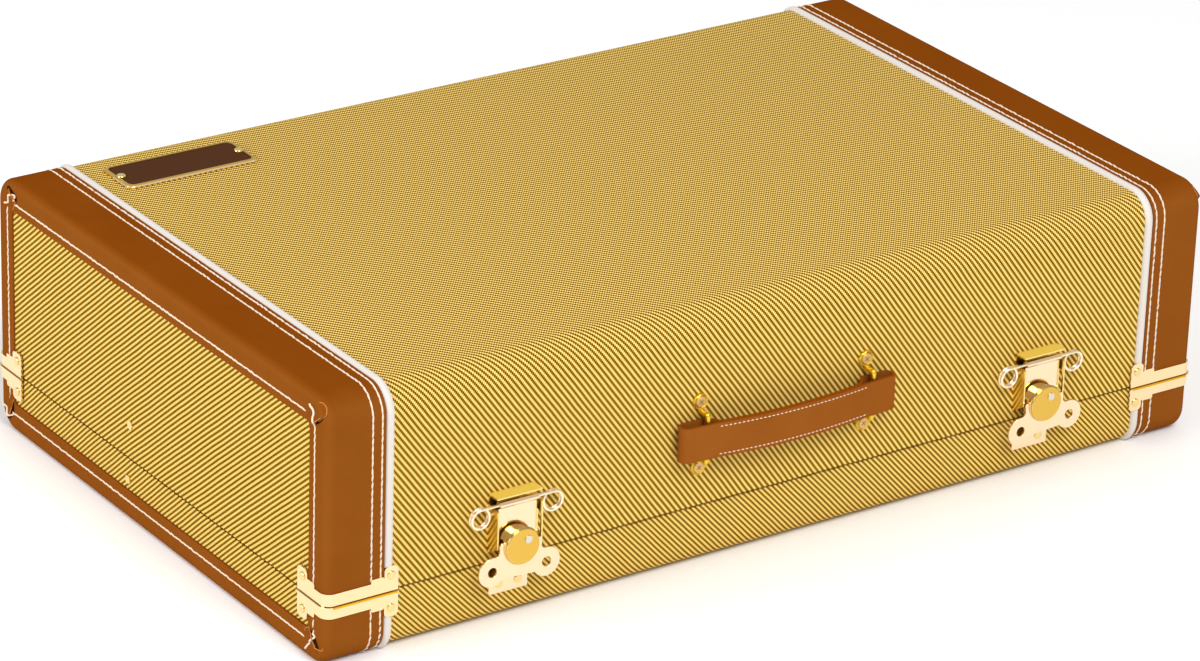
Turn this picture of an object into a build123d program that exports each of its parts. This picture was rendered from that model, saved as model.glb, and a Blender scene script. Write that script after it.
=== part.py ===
from build123d import *
import os
from math import atan2, cos, degrees, radians, sin

# A pedal case: a shallow tray and a deep hinged lid, both of bent plywood covered in striped cloth,
# with stitched leather ends, white welt piping and gold hardware.
# Millimetres. +X runs along the length, -Y faces the front (handle and latches), +Z is up, and the
# origin is the middle of the tray's underside.

# ---------------------------------------------------------------- case body
case_length = 640.0        # over the leather at both ends
case_depth = 389.5         # over the cloth, front to back
case_height = 168.5        # over the cloth, underside to top
seam_height = 40.5         # parting line between tray and lid
seam_gap = 0.5             # open line between tray and lid when shut
long_edge_radius = 16.0    # the four long edges, bent in the plywood
end_edge_radius = 5.5      # the edges round each end, over the leather
ply_thickness = 6.0
end_panel_thickness = 8.0
cloth_thickness = 0.8
glue_line = 0.1            # between a covering and what it is glued to
leather_rise = 1.0         # how far the leather stands above the cloth
lining_thickness = 1.5

# ---------------------------------------------------------------- leather ends and piping
piping_centre = 42.4       # in from the end of the case
piping_radius = 2.85
piping_rise = 2.3          # above the cloth
trim_clearance = 0.15      # between the piping and the edges beside it
border_side = 18.2         # leather border on the end face, from the cloth's edges
border_top = 17.8
border_bottom = 19.4
window_radius = 3.0

# ---------------------------------------------------------------- inside
deck_thickness = 6.0       # loose board that the pedals stand on
deck_end_clearance = 5.5   # from the lining at each end
deck_side_clearance = 8.25
deck_rise = 3.0            # height of its feet
deck_foot = 40.0           # each square foot's side
deck_foot_inset = 30.0     # each foot's middle, in from the board's edges

# ---------------------------------------------------------------- corner clips
clip_thickness = 1.0
clip_band = 7.9            # band height, each side of the seam
clip_step = 10.5           # height where the band widens beside its tab
clip_tab = 16.2            # height of the riveted tab
clip_tab_width = 9.4
clip_end_tab_width = 10.7
clip_end_step = 11.0       # height and width of the shoulder beside the end tab
clip_end_step_width = 6.5
clip_overshoot = 20.0      # how far the outlines run on round the corner
clip_depth = 9.0           # how deep each outline is projected
clip_margin = 0.15
clip_shoulder_radius = 1.5
clip_step_width = 9.0
clip_front_reach = 48.4    # from the end of the case along the front or back
clip_end_reach = 28.7      # from the front or back cloth along the end face
clip_tab_radius = 3.0
clip_rivet_height = 10.5   # rivet centre above or below the seam
clip_lip_rise = 1.0        # lip turned out along the tray's half
clip_lip_height = 0.9
clip_seam_gap = 0.15       # from the seam's middle to each half

# ---------------------------------------------------------------- rivets and screws
rivet_head_radius = 2.7
rivet_head_height = 0.9
rivet_shank_radius = 1.5
rivet_grip = 4.5           # shank length inside the plywood
head_crown = 0.7           # share of a head's height that is rounded
hole_clearance = 0.05
overshoot = 2.0            # how far a bore runs on past what it cuts
screw_head_radius = 2.9
screw_head_height = 1.6
screw_shank_radius = 1.3

# ---------------------------------------------------------------- hinges
hinge_inset = 130.0        # each hinge's middle, in from the end of the case
hinge_length = 60.0
hinge_leaf_height = 22.0
hinge_leaf_thickness = 1.2
hinge_knuckle_radius = 3.0
hinge_pin_radius = 1.5
hinge_pin_head = 2.4
hinge_pin_head_width = 1.0
hinge_web_overlap = 1.0    # how far a knuckle's web runs into its leaf
hinge_knuckles = 5
hinge_knuckle_gap = 0.3
hinge_stand_off = 0.3      # knuckle clear of the cloth
hinge_rivet_spacing = 38.0
hinge_rivet_height = 14.0
hinge_fit = {"base": 0.0, "lid": 0.05}

# ---------------------------------------------------------------- latches, heights from the seam
latch_insets = {"left": 126.5, "right": 126.0}    # each latch's middle, in from the end of the case
wing_tilts = {"left": -3.2, "right": 5.1}    # how each wing plate hangs, degrees
mount_width = 31.6         # folded latch box on the lid
mount_rise = 10.3          # its side walls, out from the cloth
mount_sheet = 1.0
mount_top = 45.3
mount_wall_foot = 6.0      # walls' lowest point at the cloth
mount_wall_top = 37.0
mount_back_foot = 17.0
mount_wall_toe = 12.9      # walls' lowest point at their front edges
mount_lip_rise = 9.5
mount_rivet_spacing = 18.0
mount_rivet_height = 31.5
mount_slot_width = 4.0     # slot in the right wall
mount_slot_low = 15.0
mount_slot_high = 30.5
mount_slot_out = 7.0
wire_radius = 0.95         # spring bail
wire_out = 7.4
wire_height = 39.9
coil_radius = 6.3
coil_spread = 25.0         # each coil's centre from the latch's middle
coil_pitch = 2.2
coil_sweep = 630           # degrees from the crossbar to the inner end
hasp_width = 26.7
hasp_sheet = 1.2
hasp_front = 7.2           # hasp's front face, out from the cloth
hasp_foot = 13.5           # lower edge of its flat part
hasp_overlap = 4.0         # how far its tongue runs up behind the flat part
hasp_joggle_low = 3.0      # the step between them, above the foot
hasp_joggle_high = 4.5
hasp_roll_radius = 2.2
tongue_radius = 12.0       # rounded lower end that carries the barrel
tongue_back = 4.4
knob_height = 12.8         # turning axis
barrel_radius = 10.5
barrel_waist_radius = 9.6
barrel_flange = 1.2
barrel_top_ring = 2.4
spindle_radius = 3.5
spindle_head_radius = 5.0
wing_sheet = 1.2
wing_back = 10.8
wing_hole_x = 18.9
wing_hole_drop = 14.0
wing_hole_radius = 3.1
wing_ear_radius = 9.4
wing_top_half = 14.6
wing_top_rise = 3.2
wing_neck_drop = 6.0
wing_corner = 1.8
wing_hollow = 2.6
wing_waist_drop = 19.4
wing_waist_inset = 2.0     # the lower edge's ends, in from the holes
wing_edge = 0.3
knob_radius = 11.6
knob_thickness = 2.2
knob_edge = 0.5
knob_rivet_radius = 2.35
knob_rivet_x = 3.2
knob_rivet_z = 4.3
knob_rivet_rise = 0.6
cam_back = 2.2
cam_thickness = 1.6
cam_hub_radius = 5.5
cam_hook_inner = 9.4
cam_hook_outer = 12.6
cam_hook_start = -30.0     # hook's reach under the shelf, degrees from straight down
cam_hook_end = 72.0
cam_arm_start = 42.0
keeper_width = 27.0
keeper_shift = -1.3        # keeper plate's middle from the latch's middle
keeper_sheet = 0.8
keeper_foot = -21.0
keeper_top = -0.7
keeper_tongue_width = 4.4
keeper_tongue_lift = 0.5   # the tongue stands clear of the lid
keeper_tongue_top = 5.1
keeper_tongue_root = 3.0   # how far down the tongue starts from the plate's top
keeper_shelf_out = 3.9
keeper_shelf_sheet = 1.1
keeper_rivet_spacing = 13.6
keeper_rivet_height = -15.0
moving_gap = 0.3

# ---------------------------------------------------------------- handle, heights from the seam
loop_offset = 61.0         # each loop's bar from the middle of the handle
loop_screw_top = 69.5
loop_screw_bottom = 26.5
loop_bar_radius = 1.8
loop_bar_out = 9.0
loop_bar_top = 62.5
loop_bar_bottom = 34.0
loop_foot_radius = 5.0
loop_foot_thickness = 1.8
loop_leg_inset = 5.0       # where a leg leaves its foot, from the screw
strap_thickness = 2.0      # one layer
strap_width = 22.3
strap_bottom = 36.8
strap_half_length = 79.0
strap_shift = -1.0
strap_join = 50.0          # where the layers begin to part
strap_turn = 9.0           # length over which they part
strap_split = 0.6          # the gap between them starts this far beyond the join
strap_front_steps = 24     # points along each edge of the strap
strap_back_steps = 40
strap_gap_front_steps = 8
strap_gap_back_steps = 14
strap_sewn_half = 54.0     # where the two layers join
strap_end_out = 12.6       # outer layer's middle at the join
strap_bow = 4.1            # how much further out the middle of the handle stands
strap_loop_out = 7.3       # middle of the end loops
strap_loop_radius = 4.1    # end loops, to the middle of the layer

# ---------------------------------------------------------------- name plate
plate_from_end = 103.7     # its middle from the left end and from the back
plate_from_back = 45.25
plate_length = 92.5
plate_width = 36.0
plate_thickness = 2.0
plate_radius = 5.0
plate_field_radius = 4.0
plate_fit = 0.1            # between the panel and the border
plate_edge = 0.9
plate_border = 2.4
plate_recess = 0.7
plate_enamel = 0.3
plate_screw_rise = 1.5
plate_screw_shank = 1.1
plate_screw_spacing = 83.8
plate_screw_head = 3.0

# ---------------------------------------------------------------- lid stay
stay_base_reach = 163.75   # pivot on the tray, forward of the hinge axis
stay_base_drop = 14.2      # below the seam
stay_lid_reach = 166.75    # pivot on the lid
stay_lid_rise = 23.0       # above the seam
stay_link_length = 139.2   # between a link's holes
stay_link_width = 9.0
stay_link_thickness = 1.6
stay_link_gap = 0.4
stay_rivet_radius = 2.0
stay_rivet_head = 3.0
stay_inner_head = 4.0
stay_head_height = 1.2
stay_elbow_radius = 2.3
stay_spacer_radius = 4.0

# ---------------------------------------------------------------- worked out from the above
half_length = case_length / 2
cloth_half_length = half_length - leather_rise
ply_inset = cloth_thickness + glue_line
front_y = -case_depth / 2
piping_x = half_length - piping_centre
lining_inset = ply_inset + ply_thickness + glue_line
hinge_axis_y = case_depth / 2 + hinge_knuckle_radius + hinge_stand_off
panel_inner_x = cloth_half_length - ply_inset - end_panel_thickness
base_top = seam_height - seam_gap / 2
lid_bottom = seam_height + seam_gap / 2
far = 2 * case_length      # larger than anything here
inner_half_length = panel_inner_x - glue_line - lining_thickness
inner_half_depth = case_depth / 2 - lining_inset - lining_thickness
latch_centres = {
    "left": -half_length + latch_insets["left"],
    "right": half_length - latch_insets["right"],
}
plate_centre_x = -half_length + plate_from_end
plate_centre_y = case_depth / 2 - plate_from_back

# Faces of the case as drawing planes: local x along the face, y up, z out of it, zero on the cloth
front_face = Plane((0, front_y, 0), x_dir=(1, 0, 0), z_dir=(0, -1, 0))
back_face = Plane((0, -front_y, 0), x_dir=(-1, 0, 0), z_dir=(0, 1, 0))
left_face = Plane((-cloth_half_length, 0, 0), x_dir=(0, -1, 0), z_dir=(-1, 0, 0))
right_face = Plane((cloth_half_length, 0, 0), x_dir=(0, 1, 0), z_dir=(1, 0, 0))
top_face = Plane((0, 0, case_height), x_dir=(1, 0, 0), z_dir=(0, 0, 1))


def slab(low, high):
    """Everything between two heights."""
    return Pos(0, 0, (low + high) / 2) * Box(far, far, high - low)


below_seam = slab(-far, base_top)
above_floor = slab(0, far)
above_seam = slab(lid_bottom, far)


def section(inset):
    """The case's cross-section, moved in from the cloth's outside."""
    outline = RectangleRounded(
        case_depth - 2 * inset, case_height - 2 * inset, long_edge_radius - inset
    )
    return Plane((0, 0, case_height / 2), x_dir=(0, 1, 0), z_dir=(1, 0, 0)) * outline


def block(inset, half, edge_radius=0.0):
    """A closed block with that section, and rounded edges round its ends."""
    solid = extrude(section(inset), half, both=True)
    if edge_radius > 0:
        ends = solid.edges().group_by(Axis.X)
        solid = fillet(ends[0] + ends[-1], edge_radius)
    return solid


def disc(radius, low, high, x=0.0, y=0.0):
    """A round bar along local z, between two heights."""
    return Pos(x, y, (low + high) / 2) * Cylinder(radius, high - low)


def plate(x_low, x_high, y_low, y_high, z_low, z_high):
    """A box between its limits."""
    middle = Pos((x_low + x_high) / 2, (y_low + y_high) / 2, (z_low + z_high) / 2)
    return middle * Box(x_high - x_low, y_high - y_low, z_high - z_low)


def rod(start, end, radius):
    """A round bar between two points."""
    a, b = Vector(*start), Vector(*end)
    return extrude(Plane(a, z_dir=(b - a).normalized()) * Circle(radius), (b - a).length)


def domed_head(radius, height, seat):
    """A round head with a rounded crown."""
    head = disc(radius, seat, seat + height)
    return fillet(head.edges().group_by(Axis.Z)[-1], height * head_crown)


def fastener(face, x, y, seat, depth, head_radius, head_height, shank_radius):
    """A headed fastener on a face, and the hole that it needs."""
    place = face.location * Pos(x, y, 0)
    body = domed_head(head_radius, head_height, seat) + disc(shank_radius, seat - depth, seat)
    hole = disc(shank_radius + hole_clearance, seat - depth - moving_gap, seat + head_height)
    return place * body, place * hole


def rivet(face, x, y, seat):
    """A gold rivet whose head lies on a plate that stands out to the seat."""
    depth = seat + ply_inset + rivet_grip
    return fastener(
        face, x, y, seat, depth, rivet_head_radius, rivet_head_height, rivet_shank_radius
    )


nodes = {}
lid_holes = []
base_holes = []
lid_rivets = []
base_rivets = []


def add_rivets(face, points, seat, on_lid):
    """Rivets at several points of a face."""
    for x, y in points:
        body, hole = rivet(face, x, y, seat)
        (lid_rivets if on_lid else base_rivets).append(body)
        (lid_holes if on_lid else base_holes).append(hole)


# ---------------------------------------------------------------- plywood
def plywood():
    """Bent front-top-back and front-bottom-back sheets, and the flat end panels inside them."""
    outside = block(ply_inset, cloth_half_length - ply_inset, end_edge_radius - leather_rise - ply_inset)
    tube = outside - extrude(section(ply_inset + ply_thickness), far, both=True)
    panels = extrude(section(ply_inset + ply_thickness), cloth_half_length - ply_inset, both=True)
    for name, region in (("base", below_seam), ("lid", above_seam)):
        nodes[f"{name}_bent_shell"] = tube & region
        for side, sign in (("left", -1), ("right", 1)):
            reach = Pos(sign * (panel_inner_x + far / 2), 0, 0) * Box(far, far, far)
            nodes[f"{name}_end_panel_{side}"] = panels & reach & region


# ---------------------------------------------------------------- cloth, leather and piping
def window_outline(margin=0.0):
    """The opening in an end's leather border, in that end face's own plane."""
    width = case_depth - 2 * border_side - 2 * margin
    height = case_height - border_top - border_bottom - 2 * margin
    middle = (case_height - border_top + border_bottom) / 2
    return Pos(0, middle) * RectangleRounded(width, height, window_radius - margin)


def clip_outline(margin=0.0):
    """Both halves of a corner clip seen square to the front, u out from the case end, v from the seam."""
    reach = clip_front_reach
    step = reach - clip_tab_width
    band = step - clip_step_width
    low, high = -margin, margin
    shape = Pos(band / 2 - clip_overshoot / 2, 0) * Rectangle(
        band + clip_overshoot + 2 * clip_shoulder_radius, 2 * (clip_band + margin)
    )
    shoulder = Rectangle(step - band + 2 * margin, 2 * (clip_step + margin))
    shape += Pos((band + step) / 2, 0) * fillet(shoulder.vertices(), clip_shoulder_radius)
    tab = Rectangle(clip_tab_width + 2 * margin, 2 * (clip_tab + margin))
    shape += Pos(step + clip_tab_width / 2, 0) * fillet(tab.vertices(), clip_tab_radius)
    return shape


def clip_end_outline():
    """The same seen square to the end face, u in from the front cloth."""
    step = clip_end_reach - clip_end_tab_width
    band = step - clip_end_step_width
    shape = Pos(band / 2 - clip_overshoot / 2, 0) * Rectangle(
        band + clip_overshoot + 2 * clip_shoulder_radius, 2 * clip_band
    )
    shoulder = Rectangle(clip_end_step_width + 2 * clip_shoulder_radius, 2 * clip_end_step)
    shape += Pos((band + step) / 2, 0) * fillet(shoulder.vertices(), clip_shoulder_radius)
    tab = Rectangle(clip_end_tab_width, 2 * clip_tab)
    shape += Pos(step + clip_end_tab_width / 2, 0) * fillet(tab.vertices(), clip_tab_radius)
    return shape


def clip_regions(margin=0.0):
    """Where the clips lie: prisms through the front and back arms, and through the end arms."""
    arms = []
    ends = []
    for x_sign in (-1, 1):
        for y_sign in (-1, 1):
            corner = Plane(
                (x_sign * half_length, y_sign * case_depth / 2, seam_height),
                x_dir=(-x_sign, 0, 0),
                z_dir=(0, x_sign, 0),
            )
            arms.append(extrude(corner * clip_outline(margin), clip_depth, both=True))
            side = Plane(
                (x_sign * half_length, y_sign * case_depth / 2, seam_height),
                x_dir=(0, -y_sign, 0),
                z_dir=(-y_sign, 0, 0),
            )
            ends.append(extrude(side * clip_end_outline(), clip_depth, both=True))
    return arms, ends


def piping_ring(sign):
    """A round welt all the way round the case, lying on the plywood."""
    inset = piping_radius - piping_rise
    outline = RectangleRounded(
        case_depth - 2 * inset, case_height - 2 * inset, long_edge_radius - inset
    )
    middle = Plane((sign * piping_x, 0, case_height / 2), x_dir=(0, 1, 0), z_dir=(1, 0, 0))
    path = (middle * outline).wire()
    ring = sweep(Plane(path @ 0, z_dir=path % 0) * Circle(piping_radius), path=path)
    return ring - block(ply_inset - glue_line, half_length)


def coverings():
    """Cloth over the middle and in the end windows, leather over the ends, piping between."""
    cloth = block(0, piping_x - piping_radius - trim_clearance)
    cloth -= extrude(section(cloth_thickness), far, both=True)
    core_radius = end_edge_radius - leather_rise - ply_inset + glue_line
    leather = block(-leather_rise, half_length, end_edge_radius)
    leather -= block(cloth_thickness, cloth_half_length - cloth_thickness, core_radius)
    leather -= Box(2 * (piping_x + piping_radius + trim_clearance), far, far)
    for face in (left_face, right_face):
        leather -= extrude(face * window_outline(), far, both=True) & Pos(
            face.origin.X, 0, 0
        ) * Box(4 * end_panel_thickness, far, far)
    arms, ends = clip_regions(clip_margin)
    for side, sign, face in (("left", -1, left_face), ("right", 1, right_face)):
        half = Pos(sign * far / 2, 0, 0) * Box(far, far, far)
        ring = piping_ring(sign)
        for arm in arms:
            ring -= arm
        panel = extrude(face * window_outline(trim_clearance), -cloth_thickness)
        for name, region in (("base", below_seam & above_floor), ("lid", above_seam)):
            nodes[f"{name}_leather_{side}"] = leather & half & region
            nodes[f"{name}_piping_{side}"] = ring & region
            nodes[f"{name}_end_cloth_{side}"] = panel & region
    nodes["base_cloth_wrap"] = cloth & below_seam
    nodes["lid_cloth_wrap"] = cloth & above_seam


# ---------------------------------------------------------------- lining and deck
def inside():
    """A flocked lining in both halves, and the loose board that the pedals stand on."""
    half = panel_inner_x - glue_line
    outer = block(lining_inset, half)
    inner = block(lining_inset + lining_thickness, half - lining_thickness)
    shell = outer - inner
    nodes["base_lining"] = shell & below_seam
    nodes["lid_lining"] = shell & above_seam
    floor = lining_inset + lining_thickness
    length = 2 * (inner_half_length - deck_end_clearance)
    width = 2 * (inner_half_depth - deck_side_clearance)
    deck = Pos(0, 0, floor + deck_rise + deck_thickness / 2) * Box(length, width, deck_thickness)
    spots = GridLocations(length - 2 * deck_foot_inset, width - 2 * deck_foot_inset, 2, 2)
    for place in Pos(0, 0, floor + deck_rise / 2) * spots:
        deck += place * Box(deck_foot, deck_foot, deck_rise)
    nodes["pedal_deck"] = deck


# ---------------------------------------------------------------- corner clips
def corner_clips():
    """Folded gold clips at the four corners, one half on the tray and one on the lid."""
    under = block(-leather_rise, half_length, end_edge_radius)
    over = block(
        -leather_rise - clip_thickness, half_length + clip_thickness, end_edge_radius + clip_thickness
    )
    lip_rise = clip_thickness + clip_lip_rise
    lip_over = block(-leather_rise - lip_rise, half_length + lip_rise, end_edge_radius + lip_rise)
    sheet = over - under
    lip_top = seam_height - clip_seam_gap
    lip = (lip_over - under) & slab(lip_top - clip_lip_height, lip_top)
    halves = {
        "base": slab(0, lip_top),
        "lid": slab(seam_height + clip_seam_gap, case_height),
    }
    arms, ends = clip_regions()
    clips = []
    for arm, end in zip(arms, ends):
        region = arm + end
        clips.append((sheet + lip) & region)
    for name, half in halves.items():
        nodes[f"{name}_corner_clips"] = [clip & half for clip in clips]
    seat = leather_rise + clip_thickness
    for level, on_lid in ((clip_rivet_height, True), (-clip_rivet_height, False)):
        z = seam_height + level
        across = half_length - clip_front_reach + clip_tab_width / 2
        along = case_depth / 2 - clip_end_reach + clip_end_tab_width / 2
        for face in (front_face, back_face):
            add_rivets(face, ((-across, z), (across, z)), seat, on_lid)
        for face in (left_face, right_face):
            add_rivets(face, ((-along, z), (along, z)), seat, on_lid)


# ---------------------------------------------------------------- hinges
def hinges():
    """Two knuckled hinges on the back; each pin stays with the tray."""
    axis_out = hinge_axis_y - case_depth / 2
    knuckle = (hinge_length - (hinge_knuckles - 1) * hinge_knuckle_gap) / hinge_knuckles
    leaves = {"base": [], "lid": []}
    pins = []
    for x in (hinge_inset - half_length, half_length - hinge_inset):
        for name, sign in (("base", -1), ("lid", 1)):
            near = seam_height + sign * (hinge_knuckle_radius + moving_gap)
            far_edge = seam_height + sign * hinge_leaf_height
            leaf = plate(
                x - hinge_length / 2, x + hinge_length / 2,
                min(near, far_edge), max(near, far_edge), 0, hinge_leaf_thickness,
            )
            for index in range(hinge_knuckles):
                if (index % 2 == 0) != (name == "base"):
                    continue
                low = x - hinge_length / 2 + index * (knuckle + hinge_knuckle_gap)
                barrel = Pos(low + knuckle / 2, seam_height, axis_out) * (
                    Rot(0, 90, 0) * Cylinder(hinge_knuckle_radius, knuckle)
                )
                web_high = near + sign * hinge_web_overlap
                web = plate(
                    low, low + knuckle, min(web_high, seam_height), max(web_high, seam_height),
                    hinge_stand_off, hinge_stand_off + hinge_leaf_thickness,
                )
                leaf += barrel + web
            bore = Pos(x, seam_height, axis_out) * (
                Rot(0, 90, 0) * Cylinder(hinge_pin_radius + hinge_fit[name], hinge_length + overshoot)
            )
            leaves[name].append(back_face.location * (leaf - bore))
            points = [
                (x - hinge_rivet_spacing / 2, seam_height + sign * hinge_rivet_height),
                (x + hinge_rivet_spacing / 2, seam_height + sign * hinge_rivet_height),
            ]
            add_rivets(back_face, points, hinge_leaf_thickness, name == "lid")
        pin = Pos(x, seam_height, axis_out) * (
            Rot(0, 90, 0) * Cylinder(hinge_pin_radius, hinge_length + 2 * hinge_knuckle_gap)
        )
        for sign in (-1, 1):
            head_x = x + sign * (hinge_length / 2 + hinge_knuckle_gap + hinge_pin_head_width / 2)
            head = Rot(0, 90, 0) * Cylinder(hinge_pin_head, hinge_pin_head_width)
            pin += Pos(head_x, seam_height, axis_out) * head
        pins.append(back_face.location * pin)
    nodes["hinge_leaves_base"] = leaves["base"]
    nodes["hinge_leaves_lid"] = leaves["lid"]
    nodes["hinge_pins"] = pins


# ---------------------------------------------------------------- latches
def sector(inner, outer, start, end):
    """A flat ring sector; angles are from straight down, towards +x."""
    points = [(0, 0)]
    reach = 2 * outer
    steps = 8
    for index in range(steps + 1):
        angle = radians(start + (end - start) * index / steps)
        points.append((reach * sin(angle), -reach * cos(angle)))
    wedge = make_face(Polyline(*points, close=True))
    ring = Circle(outer) - Circle(inner) if inner > 0 else Circle(outer)
    return ring & wedge


def wing_outline():
    """The butterfly plate, its turning axis at the origin."""
    ear_x, ear_y = wing_hole_x, -wing_hole_drop
    body = make_face(
        Polyline(
            (-wing_top_half, wing_top_rise),
            (wing_top_half, wing_top_rise),
            (wing_top_half, -wing_neck_drop),
            (ear_x, ear_y),
            (ear_x - wing_waist_inset, -wing_waist_drop),
            (-ear_x + wing_waist_inset, -wing_waist_drop),
            (-ear_x, ear_y),
            (-wing_top_half, -wing_neck_drop),
            close=True,
        )
    )
    shape = body
    for sign in (-1, 1):
        shape += Pos(sign * ear_x, ear_y) * Circle(wing_ear_radius)
    shape = fillet(shape.vertices().group_by(Axis.Y)[-1], wing_corner)
    shape = fillet(shape.vertices().group_by(Axis.Y)[-3], wing_hollow)
    for sign in (-1, 1):
        shape -= Pos(sign * ear_x, ear_y) * Circle(wing_hole_radius)
    return shape


def latch(side):
    """One latch, drawn on the front face round its own middle line, with heights from the seam."""
    place = front_face.location * Pos(latch_centres[side], seam_height, 0)
    hand = 1 if side == "left" else -1
    axis = Pos(0, knob_height, 0)

    # Folded box on the lid: back plate, two side walls and a top lip
    half = mount_width / 2
    back = plate(-half, half, mount_back_foot, mount_top, 0, mount_sheet)
    wall_shape = make_face(
        Polyline(
            (0, mount_wall_foot), (mount_rise, mount_wall_toe), (mount_rise, mount_wall_top),
            (mount_sheet, mount_wall_top + mount_sheet), (0, mount_wall_top + mount_sheet), close=True,
        )
    )
    wall = extrude(Plane((0, 0, 0), x_dir=(0, 0, 1), z_dir=(-1, 0, 0)) * wall_shape, mount_sheet)
    mount = back + Pos(half, 0, 0) * wall + Pos(-half + mount_sheet, 0, 0) * wall
    mount += plate(-half, half, mount_top - mount_sheet, mount_top, 0, mount_lip_rise)
    slot = plate(
        half - 2 * mount_sheet, half + mount_sheet, mount_slot_low, mount_slot_high,
        mount_slot_out - mount_slot_width / 2, mount_slot_out + mount_slot_width / 2,
    )
    mount -= slot

    # Spring bail: crossbar, a coil beyond each end, and an inner end let into the wall
    coil_z = wire_height - coil_radius
    wire = rod((-coil_spread, wire_height, wire_out), (coil_spread, wire_height, wire_out), wire_radius)
    for sign in (-1, 1):
        centre = Vector(sign * coil_spread, coil_z, 0)
        turns = [
            (
                centre.X + sign * coil_radius * sin(radians(step)),
                centre.Y + coil_radius * cos(radians(step)),
                wire_out - coil_pitch * step / 360,
            )
            for step in range(0, coil_sweep + 1, 30)
        ]
        path = Spline(*turns)
        wire += sweep(Plane(path @ 0, z_dir=path % 0) * Circle(wire_radius), path=path)
        end = turns[-1]
        wire += rod(end, (sign * (half - mount_sheet / 2), end[1], end[2]), wire_radius)
        wire += Pos(*end) * Sphere(wire_radius)
        wire += Pos(*turns[0]) * Sphere(wire_radius)
    for sign in (-1, 1):
        end_z = turns[-1][1]
        end_out = turns[-1][2]
        mount -= Pos(sign * half, end_z, end_out) * (
            Rot(0, 90, 0) * Cylinder(wire_radius + hole_clearance, 4 * mount_sheet)
        )

    # Hasp: rolled round the crossbar at the top, joggled back at the foot to carry the barrel
    flat = plate(-hasp_width / 2, hasp_width / 2, hasp_foot, wire_height, hasp_front - hasp_sheet, hasp_front)
    roll = Pos(0, wire_height, wire_out) * (Rot(0, 90, 0) * Cylinder(hasp_roll_radius, hasp_width))
    tongue = extrude(axis * Pos(0, 0, tongue_back) * Circle(tongue_radius), hasp_sheet)
    tongue += plate(
        -tongue_radius, tongue_radius, knob_height, hasp_foot + hasp_overlap,
        tongue_back, tongue_back + hasp_sheet,
    )
    joggle = plate(
        -tongue_radius, tongue_radius, hasp_foot + hasp_joggle_low, hasp_foot + hasp_joggle_high,
        tongue_back, hasp_front,
    )
    hasp = flat + roll + tongue + joggle
    hasp -= Pos(0, wire_height, wire_out) * (
        Rot(0, 90, 0) * Cylinder(wire_radius + hole_clearance, hasp_width + overshoot)
    )
    hasp -= axis * disc(spindle_radius + hole_clearance, 0, hasp_front)

    # Turning barrel and its spindle
    barrel_back = hasp_front + hole_clearance
    barrel = disc(barrel_radius, barrel_back, barrel_back + barrel_flange)
    barrel += disc(barrel_waist_radius, barrel_back, wing_back)
    barrel += disc(barrel_radius, wing_back - barrel_top_ring, wing_back)
    barrel += disc(spindle_radius, cam_back, barrel_back)

    # Hooked cam behind the hasp
    cam = Circle(cam_hub_radius)
    cam += sector(cam_hook_inner, cam_hook_outer, cam_hook_start, cam_hook_end)
    cam += sector(0, cam_hook_outer, cam_arm_start, cam_hook_end)
    cam = extrude(cam, cam_thickness)
    if hand < 0:
        cam = mirror(cam, Plane.YZ)
    cam = Pos(0, 0, cam_back) * cam - disc(spindle_radius, 0, hasp_front)

    # Wing plate, knob cap and its rivet
    tilt = axis * Rot(0, 0, wing_tilts[side])
    wing = extrude(wing_outline(), wing_sheet)
    wing = fillet(wing.edges().group_by(Axis.Z)[-1].filter_by(lambda edge: edge.length > 1), wing_edge)
    wing = Pos(0, 0, wing_back) * wing
    cap_back = wing_back + wing_sheet
    cap = disc(knob_radius, cap_back, cap_back + knob_thickness)
    cap = fillet(cap.edges().group_by(Axis.Z)[-1], knob_edge)
    cap_front = cap_back + knob_thickness
    stud = disc(knob_rivet_radius, cap_front, cap_front + knob_rivet_rise, knob_rivet_x, knob_rivet_z)

    # Keeper on the tray: riveted plate, raised tongue and a shelf for the hook
    keeper = plate(
        keeper_shift - keeper_width / 2, keeper_shift + keeper_width / 2,
        keeper_foot, keeper_top, 0, keeper_sheet,
    )
    low, high = -keeper_tongue_width / 2, keeper_tongue_width / 2
    lift = keeper_tongue_lift
    root = keeper_top - keeper_tongue_root
    shelf = keeper_tongue_top - keeper_shelf_sheet
    keeper += plate(low, high, root, keeper_top, 0, lift + keeper_sheet)
    keeper += plate(low, high, root, keeper_tongue_top, lift, lift + keeper_sheet)
    keeper += plate(low, high, shelf, keeper_tongue_top, lift, keeper_shelf_out)

    nodes[f"latch_mount_{side}"] = place * mount
    nodes[f"latch_spring_{side}"] = place * wire
    nodes[f"hasp_{side}"] = place * hasp
    nodes[f"latch_barrel_{side}"] = place * axis * barrel
    nodes[f"latch_cam_{side}"] = place * axis * cam
    nodes[f"wing_plate_{side}"] = place * tilt * wing
    nodes[f"knob_cap_{side}"] = place * tilt * cap
    nodes[f"knob_rivet_{side}"] = place * tilt * stud
    nodes[f"latch_keeper_{side}"] = place * keeper
    centre = latch_centres[side]
    spread = mount_rivet_spacing / 2
    z = seam_height + mount_rivet_height
    add_rivets(front_face, ((centre - spread, z), (centre + spread, z)), mount_sheet, True)
    spread = keeper_rivet_spacing / 2
    middle = centre + keeper_shift
    z = seam_height + keeper_rivet_height
    add_rivets(front_face, ((middle - spread, z), (middle + spread, z)), keeper_sheet, False)


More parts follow.
